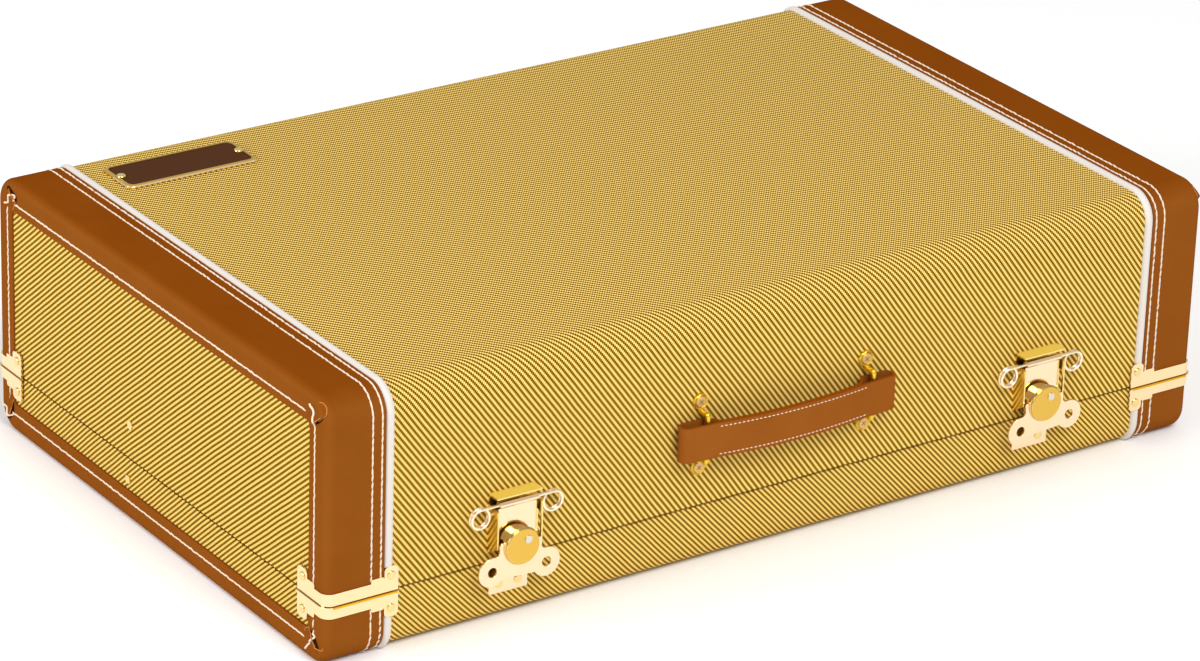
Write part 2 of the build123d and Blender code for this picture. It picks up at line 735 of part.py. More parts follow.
# ---------------------------------------------------------------- handle
def handle():
    """Two gold wire loops with screwed feet, and a strap of two sewn leather layers."""
    place = front_face.location * Pos(0, seam_height, 0)
    loops = []
    screws = []
    for sign in (-1, 1):
        x = sign * loop_offset
        bar = rod((x, loop_bar_bottom, loop_bar_out), (x, loop_bar_top, loop_bar_out), loop_bar_radius)
        for screw_z, bar_z, step in (
            (loop_screw_top, loop_bar_top, -loop_leg_inset),
            (loop_screw_bottom, loop_bar_bottom, loop_leg_inset),
        ):
            foot = disc(loop_foot_radius, 0, loop_foot_thickness, x, screw_z)
            foot += plate(
                x - loop_bar_radius, x + loop_bar_radius, min(screw_z, screw_z + step),
                max(screw_z, screw_z + step), 0, loop_foot_thickness,
            )
            bar += foot
            bar += rod(
                (x, screw_z + step, loop_foot_thickness / 2), (x, bar_z, loop_bar_out), loop_bar_radius
            )
            bar += Pos(x, bar_z, loop_bar_out) * Sphere(loop_bar_radius)
            body, hole = fastener(
                front_face, x, seam_height + screw_z, loop_foot_thickness,
                loop_foot_thickness + ply_inset + rivet_grip,
                screw_head_radius, screw_head_height, screw_shank_radius,
            )
            screws.append(body)
            lid_holes.append(hole)
        loops.append(place * (bar & slab(0, far)))
    nodes["handle_loops"] = loops
    nodes["handle_screws"] = screws
    nodes["handle_strap"] = place * strap()


def ease(share):
    """Smooth step from nought to one."""
    share = min(max(share, 0.0), 1.0)
    return share * share * (3 - 2 * share)


def strap():
    """One leather strap folded back round both bars and sewn to itself along the middle."""
    half = strap_thickness / 2
    loop_x = strap_half_length - strap_loop_radius - half
    top = strap_loop_out + strap_loop_radius
    low = strap_loop_out - strap_loop_radius
    nudge = 0.01           # for measuring a curve's slope

    def outer_middle(x):
        share = min(abs(x) / strap_sewn_half, 1.0)
        beyond = (abs(x) - strap_sewn_half) / (loop_x - strap_sewn_half)
        return strap_end_out + strap_bow * (1 - share * share) + (top - strap_end_out) * ease(beyond)

    def inner_middle(x):
        beyond = (abs(x) - strap_join) / strap_turn
        start = outer_middle(x) - strap_thickness
        return start + (low - start) * ease(beyond)

    def edge(middle, shift, start, end, count):
        points = []
        for index in range(count + 1):
            x = start + (end - start) * index / count
            slope = (middle(x + nudge) - middle(x - nudge)) / (2 * nudge)
            size = (1 + slope * slope) ** 0.5
            points.append((x - shift * slope / size, middle(x) + shift / size))
        return points

    front = edge(outer_middle, half, -loop_x, loop_x, strap_front_steps)
    back = edge(inner_middle, -half, loop_x, -loop_x, strap_back_steps)
    front[0], front[-1] = (-loop_x, top + half), (loop_x, top + half)
    back[0], back[-1] = (loop_x, low - half), (-loop_x, low - half)
    reach = loop_x + strap_loop_radius + half
    right = ThreePointArc(front[-1], (reach, strap_loop_out), back[0])
    left = ThreePointArc(back[-1], (-reach, strap_loop_out), front[0])
    outline = make_face([Spline(*front), right, Spline(*back), left])
    join = strap_join + strap_split
    above = edge(outer_middle, -half, join, loop_x, strap_gap_front_steps)
    below = edge(inner_middle, half, loop_x, join, strap_gap_back_steps)
    above[-1], below[0] = (loop_x, top - half), (loop_x, low + half)
    bend = ThreePointArc(above[-1], (loop_x + strap_loop_radius - half, strap_loop_out), below[0])
    hole = make_face([Spline(*above), bend, Spline(*below), Line(below[-1], above[0])])
    shape = outline - hole - mirror(hole, Plane.YZ)
    drawn = Plane((strap_shift, strap_bottom, 0), x_dir=(1, 0, 0), z_dir=(0, -1, 0)) * shape
    return extrude(drawn, -strap_width)


# ---------------------------------------------------------------- name plate
def name_plate():
    """A bare screwed plate with a raised gold border, on the lid's top."""
    place = top_face.location * Pos(plate_centre_x, plate_centre_y, 0)
    body = extrude(RectangleRounded(plate_length, plate_width, plate_radius), plate_thickness)
    body = fillet(body.edges().group_by(Axis.Z)[-1], plate_edge)
    field = RectangleRounded(
        plate_length - 2 * plate_border, plate_width - 2 * plate_border, plate_field_radius
    )
    body -= Pos(0, 0, plate_thickness - plate_recess) * extrude(field, plate_recess)
    frame = 2 * (plate_border + plate_fit)
    panel = RectangleRounded(plate_length - frame, plate_width - frame, plate_field_radius - plate_fit)
    panel = Pos(0, 0, plate_thickness - plate_recess) * extrude(panel, plate_enamel)
    for sign in (-1, 1):
        body -= disc(
            plate_screw_head + trim_clearance, plate_thickness - plate_recess, 2 * plate_thickness,
            sign * plate_screw_spacing / 2,
        )
    nodes["name_plate"] = place * body
    nodes["name_plate_panel"] = place * panel
    screws = []
    for sign in (-1, 1):
        seat = plate_thickness - plate_recess + plate_enamel
        body, hole = fastener(
            top_face, plate_centre_x + sign * plate_screw_spacing / 2, plate_centre_y, seat,
            seat + ply_inset + rivet_grip, plate_screw_head, plate_screw_rise, plate_screw_shank,
        )
        screws.append(body)
        lid_holes.append(hole)
    nodes["name_plate_screws"] = screws


# ---------------------------------------------------------------- lid stay
def lid_stay():
    """A folding two-link stay inside the left end; the links part a little at the elbow in mid travel."""
    wall = inner_half_length
    base_link = (-wall + stay_link_gap, -wall + stay_link_gap + stay_link_thickness)
    lid_link = (base_link[1] + stay_link_gap, base_link[1] + stay_link_gap + stay_link_thickness)
    base_pivot = Vector(0, hinge_axis_y - stay_base_reach, seam_height - stay_base_drop)
    lid_pivot = Vector(0, hinge_axis_y - stay_lid_reach, seam_height + stay_lid_rise)
    span = (lid_pivot - base_pivot).length
    middle = (base_pivot + lid_pivot) * 0.5
    reach = (stay_link_length ** 2 - span * span / 4) ** 0.5
    along = (lid_pivot - base_pivot).normalized()
    elbow = middle + Vector(0, -along.Z, along.Y) * reach

    def link(start, end, low, high, end_radius):
        angle = degrees(atan2(end.Z - start.Z, end.Y - start.Y))
        flat = Pos(stay_link_length / 2, 0) * SlotCenterToCenter(stay_link_length, stay_link_width)
        flat -= Circle(stay_rivet_radius + hole_clearance)
        flat -= Pos(stay_link_length, 0) * Circle(end_radius)
        solid = extrude(Rot(0, 0, angle) * flat, high - low)
        return Plane((low, start.Y, start.Z), x_dir=(0, 1, 0), z_dir=(1, 0, 0)).location * solid

    nodes["stay_link_base"] = link(base_pivot, elbow, *base_link, stay_elbow_radius)
    nodes["stay_link_lid"] = link(lid_pivot, elbow, *lid_link, stay_elbow_radius)
    stud = disc(stay_elbow_radius - hole_clearance, 0, stay_link_thickness + stay_link_gap)
    stud += disc(stay_inner_head, stay_link_thickness, stay_link_thickness + stay_head_height)
    nodes["stay_elbow_rivet"] = Plane(
        (lid_link[0], elbow.Y, elbow.Z), x_dir=(0, 1, 0), z_dir=(1, 0, 0)
    ).location * stud
    for name, pivot, outer, holes in (
        ("base", base_pivot, base_link[1], base_holes),
        ("lid", lid_pivot, lid_link[1], lid_holes),
    ):
        face = Plane((-cloth_half_length, pivot.Y, pivot.Z), x_dir=(0, 1, 0), z_dir=(1, 0, 0))
        depth = outer + moving_gap + cloth_half_length
        body = disc(stay_rivet_radius, 0, depth) + disc(rivet_head_radius, -rivet_head_height, 0)
        body += disc(stay_inner_head, depth, depth + stay_head_height)
        to_wall = cloth_half_length - wall
        if name == "lid":
            to_link = cloth_half_length + lid_link[0] - stay_link_gap
            body += disc(stay_spacer_radius, to_wall, to_link)
        nodes[f"stay_rivet_{name}"] = face.location * body
        bore = disc(stay_rivet_radius + hole_clearance, -overshoot, to_wall + glue_line)
        holes.append(face.location * bore)


# ---------------------------------------------------------------- build and write
plywood()
coverings()
inside()
corner_clips()
hinges()
for latch_side in latch_centres:
    latch(latch_side)
handle()
name_plate()
lid_stay()
nodes["tray_rivets"] = base_rivets
nodes["lid_rivets"] = lid_rivets

base_drilled = (
    "base_bent_shell", "base_end_panel_left", "base_end_panel_right", "base_cloth_wrap",
    "base_leather_left", "base_leather_right", "base_end_cloth_left", "base_end_cloth_right",
    "base_corner_clips", "base_lining", "hinge_leaves_base", "latch_keeper_left", "latch_keeper_right",
)
lid_drilled = (
    "lid_bent_shell", "lid_end_panel_left", "lid_end_panel_right", "lid_cloth_wrap",
    "lid_leather_left", "lid_leather_right", "lid_end_cloth_left", "lid_end_cloth_right",
    "lid_corner_clips", "lid_lining", "hinge_leaves_lid", "latch_mount_left", "latch_mount_right",
    "handle_loops", "name_plate", "name_plate_panel",
)


def pieces(shape):
    """A node's solids, from a shape or a list of shapes."""
    if isinstance(shape, (list, tuple)):
        return [solid for part in shape for solid in pieces(part)]
    return list(shape.solids())


def near(first, second):
    """Whether two bounding boxes meet."""
    a, b = first.bounding_box(), second.bounding_box()
    return all(
        getattr(a.min, axis) <= getattr(b.max, axis) and getattr(b.min, axis) <= getattr(a.max, axis)
        for axis in "XYZ"
    )


def drill(solids, holes):
    """The solids with every hole that meets them cut away."""
    result = []
    for solid in solids:
        shape = solid
        for hole in holes:
            if near(solid, hole):
                shape = shape - hole
        result.extend(pieces(shape))
    return result


os.makedirs("parts", exist_ok=True)
for name, shape in nodes.items():
    solids = pieces(shape)
    if name in base_drilled:
        solids = drill(solids, base_holes)
    if name in lid_drilled:
        solids = drill(solids, lid_holes)
    node = solids[0] if len(solids) == 1 else Compound(children=solids)
    export_step(node, f"parts/{name}.step")
    box = node.bounding_box()
    print(f"{name:24s} {len(solids):3d} {box.min.X:7.1f} {box.max.X:7.1f} {box.min.Y:7.1f} "
          f"{box.max.Y:7.1f} {box.min.Z:6.1f} {box.max.Z:6.1f}")
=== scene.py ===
"""A pedal case dressed over its frame: striped cloth, stitched leather ends, white welt and gold hardware."""

import logging
import math
from dataclasses import dataclass, field
from enum import Enum
from typing import Any, Callable, Iterable, Sequence

import bmesh
import bpy
from mathutils import Matrix, Vector


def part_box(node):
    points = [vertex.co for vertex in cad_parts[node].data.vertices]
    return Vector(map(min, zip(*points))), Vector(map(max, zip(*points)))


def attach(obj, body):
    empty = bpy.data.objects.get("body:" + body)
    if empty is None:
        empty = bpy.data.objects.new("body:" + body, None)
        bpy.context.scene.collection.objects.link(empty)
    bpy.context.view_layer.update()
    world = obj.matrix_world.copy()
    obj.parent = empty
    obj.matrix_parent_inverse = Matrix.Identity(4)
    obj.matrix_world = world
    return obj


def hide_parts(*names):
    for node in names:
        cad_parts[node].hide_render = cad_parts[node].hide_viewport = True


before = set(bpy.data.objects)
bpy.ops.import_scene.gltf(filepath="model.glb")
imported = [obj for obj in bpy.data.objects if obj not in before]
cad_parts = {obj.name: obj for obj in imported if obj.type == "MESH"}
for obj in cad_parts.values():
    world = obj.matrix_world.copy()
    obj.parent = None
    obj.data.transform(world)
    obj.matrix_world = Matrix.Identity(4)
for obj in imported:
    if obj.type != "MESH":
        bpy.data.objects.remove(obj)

log = logging.getLogger("pedal_case")

MM = 0.001
# Where a turned profile starts beside its axis, and how near points count as one, in millimetres
NEAR = 0.01
# A step to just inside an edge, in millimetres
HAIR = 0.001
Point = tuple[float, float, float]
Pairs = Sequence[tuple[float, float]]
Shape = tuple[list[Point], list[tuple[int, ...]]]


# ------------------------------------------------------------------ colours and nodes
def paint(code: str) -> tuple[float, float, float, float]:
    """Turns an sRGB hex colour into the linear colour that a shader takes.

    Args:
        code: six hex digits after a hash sign.

    Returns:
        Linear red, green and blue, and a full alpha.
    """
    parts = [int(code[i : i + 2], 16) / 255 for i in (1, 3, 5)]
    linear = [c / 12.92 if c <= 0.04045 else ((c + 0.055) / 1.055) ** 2.4 for c in parts]
    return linear[0], linear[1], linear[2], 1.0


def add(tree: bpy.types.NodeTree, kind: str, inputs: dict[Any, Any] | None = None, **settings: Any) -> Any:
    """Adds one node with its settings, constants and links.

    Args:
        tree: the tree that it goes into.
        kind: the node's type name.
        inputs: values or output sockets by input name or index.
        settings: properties of the node itself.

    Returns:
        The new node.
    """
    node = tree.nodes.new(kind)
    for name, value in settings.items():
        setattr(node, name, value)
    for key, value in (inputs or {}).items():
        socket = node.inputs[key]
        if isinstance(value, bpy.types.NodeSocket):
            tree.links.new(value, socket)
        else:
            socket.default_value = value
    return node


def sums(tree: bpy.types.NodeTree, operation: str, *values: Any, clamp: bool = False) -> Any:
    """Adds a Math node and returns its result socket."""
    node = add(tree, "ShaderNodeMath", dict(enumerate(values)), operation=operation, use_clamp=clamp)
    return node.outputs[0]


def noise(tree: bpy.types.NodeTree, place: Any, size: float, detail: float, **settings: Any) -> Any:
    """Adds a noise with spots of a size in millimetres and returns its value socket."""
    inputs = {"Vector": place, "Scale": 1.0 / (size * MM), "Detail": detail}
    return add(tree, "ShaderNodeTexNoise", inputs, **settings).outputs["Fac"]


class Blank:
    """A new material with a Principled surface, ready for its finish."""

    def __init__(self, name: str) -> None:
        """Makes the material and keeps its tree and surface at hand.

        Args:
            name: the material's name.
        """
        self.material = bpy.data.materials.new(name)
        self.material.use_nodes = True
        self.tree = self.material.node_tree
        self.surface = self.tree.nodes["Principled BSDF"]

    def set(self, **values: Any) -> None:
        """Sets or links inputs of the surface.

        Args:
            values: numbers, colours or output sockets by input name, with underscores for spaces.
        """
        for name, value in values.items():
            socket = self.surface.inputs[name.replace("_", " ")]
            if isinstance(value, bpy.types.NodeSocket):
                self.tree.links.new(value, socket)
            else:
                socket.default_value = value

    def bump(self, height: Any, depth: float) -> None:
        """Adds relief from a height between nought and one, its depth in millimetres."""
        node = add(self.tree, "ShaderNodeBump", {"Height": height, "Distance": depth * MM, "Strength": 1.0})
        self.set(Normal=node.outputs["Normal"])


# ------------------------------------------------------------------ finishes, their sizes in millimetres
@dataclass(frozen=True)
class LacqueredTweed:
    """Twill cloth of pale yellow and brown yarn under a thin lacquer, in diagonal stripes.

    The angle is in degrees from the unrolled map's first axis. Shares and stops are of the stripe's height.
    """

    name: str
    pitch: float
    angle: float
    pale_share: float = 0.5
    pale: str = "#FAD67E"
    middle: str = "#B4902A"
    dark: str = "#6B4800"
    dark_stop: float = 0.27
    pale_stop: float = 0.76
    yarn_pitch: float = 1.45
    yarn_share: float = 0.72
    waver: float = 0.22
    waver_size: float = 33.333
    roughness: float = 0.6
    relief: float = 0.25

    def make(self) -> bpy.types.Material:
        """Builds the material on the piece's unrolled UV map, which is in metres.

        Returns:
            The material.
        """
        blank = Blank(self.name)
        tree = blank.tree
        uv = add(tree, "ShaderNodeUVMap", uv_map="unrolled").outputs["UV"]
        flat = add(tree, "ShaderNodeSeparateXYZ", {0: uv}).outputs
        turn = math.radians(self.angle)
        along, across = (
            sums(tree, "ADD", sums(tree, "MULTIPLY", flat[0], a), sums(tree, "MULTIPLY", flat[1], b))
            for a, b in ((math.cos(turn), math.sin(turn)), (-math.sin(turn), math.cos(turn)))
        )
        drift = sums(tree, "SUBTRACT", noise(tree, uv, self.waver_size, 2.0, noise_dimensions="2D"), 0.5)
        waver = sums(tree, "MULTIPLY", drift, self.waver)
        phase = sums(tree, "ADD", sums(tree, "DIVIDE", across, self.pitch * MM), waver)
        stripe = sums(tree, "SINE", sums(tree, "MULTIPLY", phase, 2 * math.pi))
        # Each stripe is a row of twisted yarns, which show as short slanting steps along it
        slant = sums(tree, "MULTIPLY", phase, 0.5)
        step = sums(tree, "ADD", sums(tree, "DIVIDE", along, self.yarn_pitch * MM), slant)
        yarn = sums(tree, "SINE", sums(tree, "MULTIPLY", step, 2 * math.pi))
        woven = sums(tree, "ADD", stripe, sums(tree, "MULTIPLY", yarn, self.yarn_share))
        level = sums(tree, "ADD", sums(tree, "MULTIPLY", woven, 0.5), self.pale_share, clamp=True)
        ramp = add(tree, "ShaderNodeValToRGB", {"Fac": level})
        stops = ramp.color_ramp.elements
        stops[0].color = paint(self.dark)
        stops[0].position = self.dark_stop
        stops[1].color = paint(self.pale)
        stops[1].position = self.pale_stop
        stops.new(0.5).color = paint(self.middle)
        blank.set(Base_Color=ramp.outputs["Color"], Roughness=self.roughness, Specular_IOR_Level=0.0)
        blank.bump(level, self.relief)
        return blank.material


@dataclass(frozen=True)
class WaxedLeather:
    """Smooth brown leathercloth under a dull wax, with pores and fine creases."""

    name: str
    base: str = "#8E511C"
    deep: str = "#7F4511"
    # Painted shade: this tint darkens whatever faces up
    top_shade: str = "#F2E0A8"
    roughness: float = 0.45
    cloud_size: float = 55.556
    pore_size: float = 0.9
    pore_share: float = 0.35
    crease_size: float = 6.25
    relief: float = 0.12

    def make(self) -> bpy.types.Material:
        """Builds the material on the object's own coordinates.

        Returns:
            The material.
        """
        blank = Blank(self.name)
        tree = blank.tree
        coordinates = add(tree, "ShaderNodeTexCoord").outputs
        place = coordinates["Object"]
        cloud = noise(tree, place, self.cloud_size, 5.0)
        cloud.node.inputs["Roughness"].default_value = 0.6
        colours = {"Fac": cloud, "Color1": paint(self.deep), "Color2": paint(self.base)}
        mix = add(tree, "ShaderNodeMixRGB", colours).outputs["Color"]
        # Painted shade: faces that point up are darkened by multiplying in the top tint
        facing = add(tree, "ShaderNodeSeparateXYZ", {0: coordinates["Normal"]}).outputs[2]
        upward = sums(tree, "MULTIPLY", sums(tree, "SUBTRACT", facing, 0.5), 2.0, clamp=True)
        colours = {"Fac": upward, "Color1": mix, "Color2": paint(self.top_shade)}
        mix = add(tree, "ShaderNodeMixRGB", colours, blend_type="MULTIPLY").outputs["Color"]
        # Longer creases lie over the pores
        pores = add(tree, "ShaderNodeTexVoronoi", {"Vector": place, "Scale": 1.0 / (self.pore_size * MM)})
        crease = noise(tree, place, self.crease_size, 6.0)
        crease.node.inputs["Distortion"].default_value = 1.2
        height = sums(tree, "ADD", sums(tree, "MULTIPLY", pores.outputs["Distance"], self.pore_share), crease)
        blank.set(Base_Color=mix, Roughness=self.roughness, Specular_IOR_Level=0.0)
        blank.bump(height, self.relief)
        return blank.material


@dataclass(frozen=True)
class PlatedMetal:
    """Polished or satin plating on pressed steel: mirror-like, with the plating's own tint."""

    name: str
    tint: str
    roughness: float
    haze: float = 0.08
    haze_size: float = 3.846

    def make(self) -> bpy.types.Material:
        """Builds the material; fine polishing marks only blur the mirror a little.

        Returns:
            The material.
        """
        blank = Blank(self.name)
        tree = blank.tree
        marks = noise(tree, add(tree, "ShaderNodeTexCoord").outputs["Object"], self.haze_size, 3.0)
        blur = sums(tree, "MULTIPLY", marks, self.haze)
        rough = sums(tree, "ADD", blur, self.roughness - self.haze / 2)
        blank.set(Base_Color=paint(self.tint), Metallic=1.0, Roughness=rough)
        return blank.material


@dataclass(frozen=True)
class PlainSkin:
    """A plain finish without a mirror: vinyl welt, thread, enamel, flock, plywood, or painted shade and
    highlight.
    """

    name: str
    colour: str
    roughness: float
    mottle: float = 0.0
    mottle_size: float = 4.0
    relief: float = 0.0
    sheen: float = 0.0
    shine: float = 0.15

    def make(self) -> bpy.types.Material:
        """Builds the material, mottled and in relief as much as its maker left it.

        Returns:
            The material.
        """
        blank = Blank(self.name)
        tree = blank.tree
        spots = noise(tree, add(tree, "ShaderNodeTexCoord").outputs["Object"], self.mottle_size, 4.0)
        dim = tuple(c * (1 - self.mottle) for c in paint(self.colour)[:3]) + (1.0,)
        mix = add(tree, "ShaderNodeMixRGB", {"Fac": spots, "Color1": dim, "Color2": paint(self.colour)})
        blank.set(
            Base_Color=mix.outputs["Color"], Roughness=self.roughness, Sheen_Weight=self.sheen,
            Specular_IOR_Level=self.shine,
        )
        if self.relief > 0:
            blank.bump(spots, self.relief)
        return blank.material


class Finish(Enum):
    """The finishes that pieces of the case share."""

    TWEED_LID = LacqueredTweed("lacquered_tweed_lid", 3.0, 127.0)
    TWEED_BASE = LacqueredTweed("lacquered_tweed_base", 2.6, 133.0)
    # The end panels keep their own pitch and angle; their smaller pale share darkens them as painted shade
    TWEED_LID_END = LacqueredTweed("lacquered_tweed_lid_end", 2.865, 38.9, pale_share=0.46)
    TWEED_BASE_END = LacqueredTweed("lacquered_tweed_base_end", 2.72, 40.8, pale_share=0.46)
    LEATHER = WaxedLeather("waxed_leather")
    STRAP = WaxedLeather("strap_leather", base="#9A5B22", deep="#844715")
    WELT = PlainSkin("vinyl_welt", "#D9D2CA", 0.45, mottle=0.04, mottle_size=2.0, relief=0.05)
    # Painted shadow: a dark strip under each fold's free edge stands for the shade there
    TUCK_SHADOW = PlainSkin("painted_tuck_shadow", "#331A0A", 0.8, shine=0.0)
    # Painted highlight: lighter leather cords along the folds' creases stand for light caught there
    LEATHER_HIGHLIGHT = PlainSkin("painted_leather_highlight", "#BE7A40", 0.6, shine=0.05)
    THREAD = PlainSkin("waxed_thread", "#F0DCC4", 0.6, mottle=0.1, mottle_size=0.6)
    GOLD = PlatedMetal("polished_gold_plate", "#FADFBA", 0.12)
    CLIP_GOLD = PlatedMetal("polished_gold_clip", "#F9DEAE", 0.12)
    WIRE_GOLD = PlatedMetal("bright_gold_wire", "#FFF0D6", 0.24)
    BORDER_GOLD = PlatedMetal("brushed_gold_border", "#E0BC5E", 0.4)
    LOOP_GOLD = PlatedMetal("bright_gold_loop", "#E6C33A", 0.28)
    SCREW_GOLD = PlatedMetal("dull_gold_screw", "#E0B878", 0.5)
    MOUNT_GOLD = PlatedMetal("worn_gold_mount", "#F4D988", 0.2)
    GOLD_LIP = PlatedMetal("rolled_gold_edge", "#E3AA1C", 0.3)
    MOUNT_LIP = PlainSkin("folded_gold_lip", "#E3C352", 0.3, shine=0.35)
    # Painted shade: this darker gold on the knob rims and latch barrels stands for the shade in their
    # undercut
    SHADED_RIM_GOLD = PlatedMetal("gold_rim_painted_shade", "#DDBC74", 0.16)
    RIVET_GOLD = PlatedMetal("gold_rivet", "#EFD694", 0.26)
    SATIN_GOLD = PlatedMetal("satin_gold_plate", "#E2B954", 0.4)
    RECESS = PlainSkin("shadowed_recess", "#8A6A2A", 0.6, shine=0.1)
    # Painted shadow: a dark disc on each keeper stands for the shade seen through the wing plate's left hole
    KEEPER_SHADOW = PlainSkin("painted_keeper_shadow", "#5A4210", 0.7, shine=0.0)
    NICKEL = PlatedMetal("nickel_rivet", "#D8D4CC", 0.2)
    STEEL = PlatedMetal("zinc_plated_steel", "#B9B8B2", 0.32)
    ENAMEL = PlainSkin("brown_enamel", "#4C2910", 0.5, mottle=0.08, shine=0.03)
    FLOCK = PlainSkin("flocked_lining", "#2A1C12", 0.9, mottle=0.3, mottle_size=1.0, sheen=0.15)
    PLY = PlainSkin("stained_plywood", "#6A4310", 0.75, mottle=0.25, mottle_size=12.0, shine=0.0)
    FLOOR = PlainSkin("pale_floor", "#FFFFFF", 0.9)


MADE: dict[str, bpy.types.Material] = {}


def finish_of(look: Finish) -> bpy.types.Material:
    """Gives the material of a finish, made the first time it is asked for.

    Args:
        look: the finish.

    Returns:
        Its one material.
    """
    if look.value.name not in MADE:
        MADE[look.value.name] = look.value.make()
    return MADE[look.value.name]


# ------------------------------------------------------------------ meshes
def dress(node: str, look: Finish) -> None:
    """Gives a frame node one finish.

    Args:
        node: the node's name.
        look: its finish.
    """
    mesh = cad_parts[node].data
    mesh.materials.clear()
    mesh.materials.append(finish_of(look))
    log.info("%s in %s", node, look.value.name)


def settle(piece: bpy.types.Object, body: str, replaced: str | None = None) -> None:
    """Gives a new piece its body, and hides the frame node that it stands for.

    Args:
        piece: the finished piece.
        body: the body that it rides on.
        replaced: the frame node that it replaces, if there is one.
    """
    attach(piece, body)
    if replaced:
        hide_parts(replaced)
    log.info("%s on %s: %d faces", piece.name, body, len(piece.data.polygons))


def solid(name: str, shape: Shape, look: Finish) -> bpy.types.Object:
    """Makes a mesh piece.

    Args:
        name: the piece's name.
        shape: its corners in millimetres, and the corner indices of each face.
        look: its finish.

    Returns:
        The new object, at the origin.
    """
    mesh = bpy.data.meshes.new(name)
    mesh.from_pydata([tuple(c * MM for c in p) for p in shape[0]], [], shape[1])
    mesh.materials.append(finish_of(look))
    mesh.validate()
    piece = bpy.data.objects.new(name, mesh)
    bpy.context.scene.collection.objects.link(piece)
    return piece


def face_out(piece: bpy.types.Object) -> None:
    """Merges doubles and turns every face outwards.

    Args:
        piece: the piece, whose mesh is changed.
    """
    mesh = bmesh.new()
    mesh.from_mesh(piece.data)
    bmesh.ops.remove_doubles(mesh, verts=mesh.verts, dist=NEAR * MM)
    bmesh.ops.recalc_face_normals(mesh, faces=mesh.faces)
    mesh.to_mesh(piece.data)
    mesh.free()


def shade(piece: bpy.types.Object, angle: float = 35.0) -> None:
    """Shades smooth across edges flatter than an angle in degrees."""
    piece.data.shade_smooth()
    piece.data.set_sharp_from_angle(angle=math.radians(angle))


def lathe(
    profile: Pairs, x: float, z: float, front: float, steps: int = 40, lobes: int = 0, lobe_depth: float = 0.0
) -> Shape:
    """Turns a profile round an axis that points out of the case's front.

    Args:
        profile: pairs of radius and height out of the front, as a closed section.
        x: the axis's place along the case.
        z: its height.
        front: the y of the front.
        steps: flats round the axis.
        lobes: scallops round the rim.
        lobe_depth: how deep they are, as a share of the radius.

    Returns:
        Points and faces of the turned section.
    """
    points: list[Point] = []
    for radius, out in profile:
        for index in range(steps):
            turn = 2 * math.pi * index / steps
            reach = radius * (1 + lobe_depth * math.cos(lobes * turn))
            points.append((x + reach * math.cos(turn), front - out, z + reach * math.sin(turn)))
    faces: list[tuple[int, ...]] = []
    rings = len(profile)
    for ring in range(rings):
        here, after = ring * steps, (ring + 1) % rings * steps
        for index in range(steps):
            beside = (index + 1) % steps
            faces.append((here + index, here + beside, after + beside, after + index))
    return points, faces


def joined(shapes: Iterable[Shape]) -> Shape:
    """Puts several shapes into one.

    Args:
        shapes: points and faces of each.

    Returns:
        All their points and faces.
    """
    points: list[Point] = []
    faces: list[tuple[int, ...]] = []
    for more_points, more_faces in shapes:
        faces += [tuple(index + len(points) for index in face) for face in more_faces]
        points += more_points
    return points, faces


# ------------------------------------------------------------------ the case and its cloth
@dataclass
class CaseBody:
    """The case's driving sizes, in millimetres, read where they can be from the frame."""

    edge_radius: float = 16.0
    cloth: float = 0.8
    leather_rise: float = 1.0
    seam: float = 40.5
    seam_gap: float = 0.5
    turned_in: float = 0.4
    half_length: float = field(init=False)
    half_depth: float = field(init=False)
    height: float = field(init=False)
    cloth_half: float = field(init=False)

    def __post_init__(self) -> None:
        """Takes the outside sizes from the frame's cloth and leather."""
        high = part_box("lid_cloth_wrap")[1]
        self.half_depth = high.y / MM
        self.height = high.z / MM
        self.cloth_half = high.x / MM
        self.half_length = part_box("lid_leather_right")[1].x / MM

    def run(self, inset: float, lid: bool, steps: int = 10) -> list[Point]:
        """The section's path from the front seam round to the back one.

        Args:
            inset: how far inside the cloth's outside it runs.
            lid: over the lid, or else under the tray.
            steps: straight runs in each bend.

        Returns:
            Points as y, z and the length along the cloth's outside from the underside's level.
        """
        radius = self.edge_radius - inset
        depth = self.half_depth - inset
        bend = self.edge_radius * math.pi / 2
        near = self.height - self.edge_radius if lid else self.edge_radius
        sign = 1 if lid else -1
        start = self.seam + sign * (self.seam_gap / 2 + self.turned_in)
        centre = self.half_depth - self.edge_radius
        flat = near + sign * bend
        turns = [math.pi / 2 * index / steps for index in range(steps + 1)]
        front = [
            (-centre - radius * math.cos(turn), near + sign * radius * math.sin(turn),
             near + sign * self.edge_radius * turn)
            for turn in turns
        ]
        back = [
            (centre + radius * math.sin(turn), near + sign * radius * math.cos(turn),
             flat + sign * (2 * centre + self.edge_radius * turn))
            for turn in turns
        ]
        end = flat + sign * (2 * centre + bend) + sign * abs(near - start)
        return [(-depth, start, start), *front, *back, (depth, start, end)]


def unroll(piece: bpy.types.Object, rule: Callable[[int, Vector], tuple[float, float]]) -> None:
    """Gives a piece its unrolled UV map, in metres.

    Args:
        piece: the piece.
        rule: takes a vertex's index and place and returns its flat place.
    """
    for layer in list(piece.data.uv_layers):
        piece.data.uv_layers.remove(layer)
    layer = piece.data.uv_layers.new(name="unrolled")
    for loop in piece.data.loops:
        layer.data[loop.index].uv = rule(loop.vertex_index, piece.data.vertices[loop.vertex_index].co)


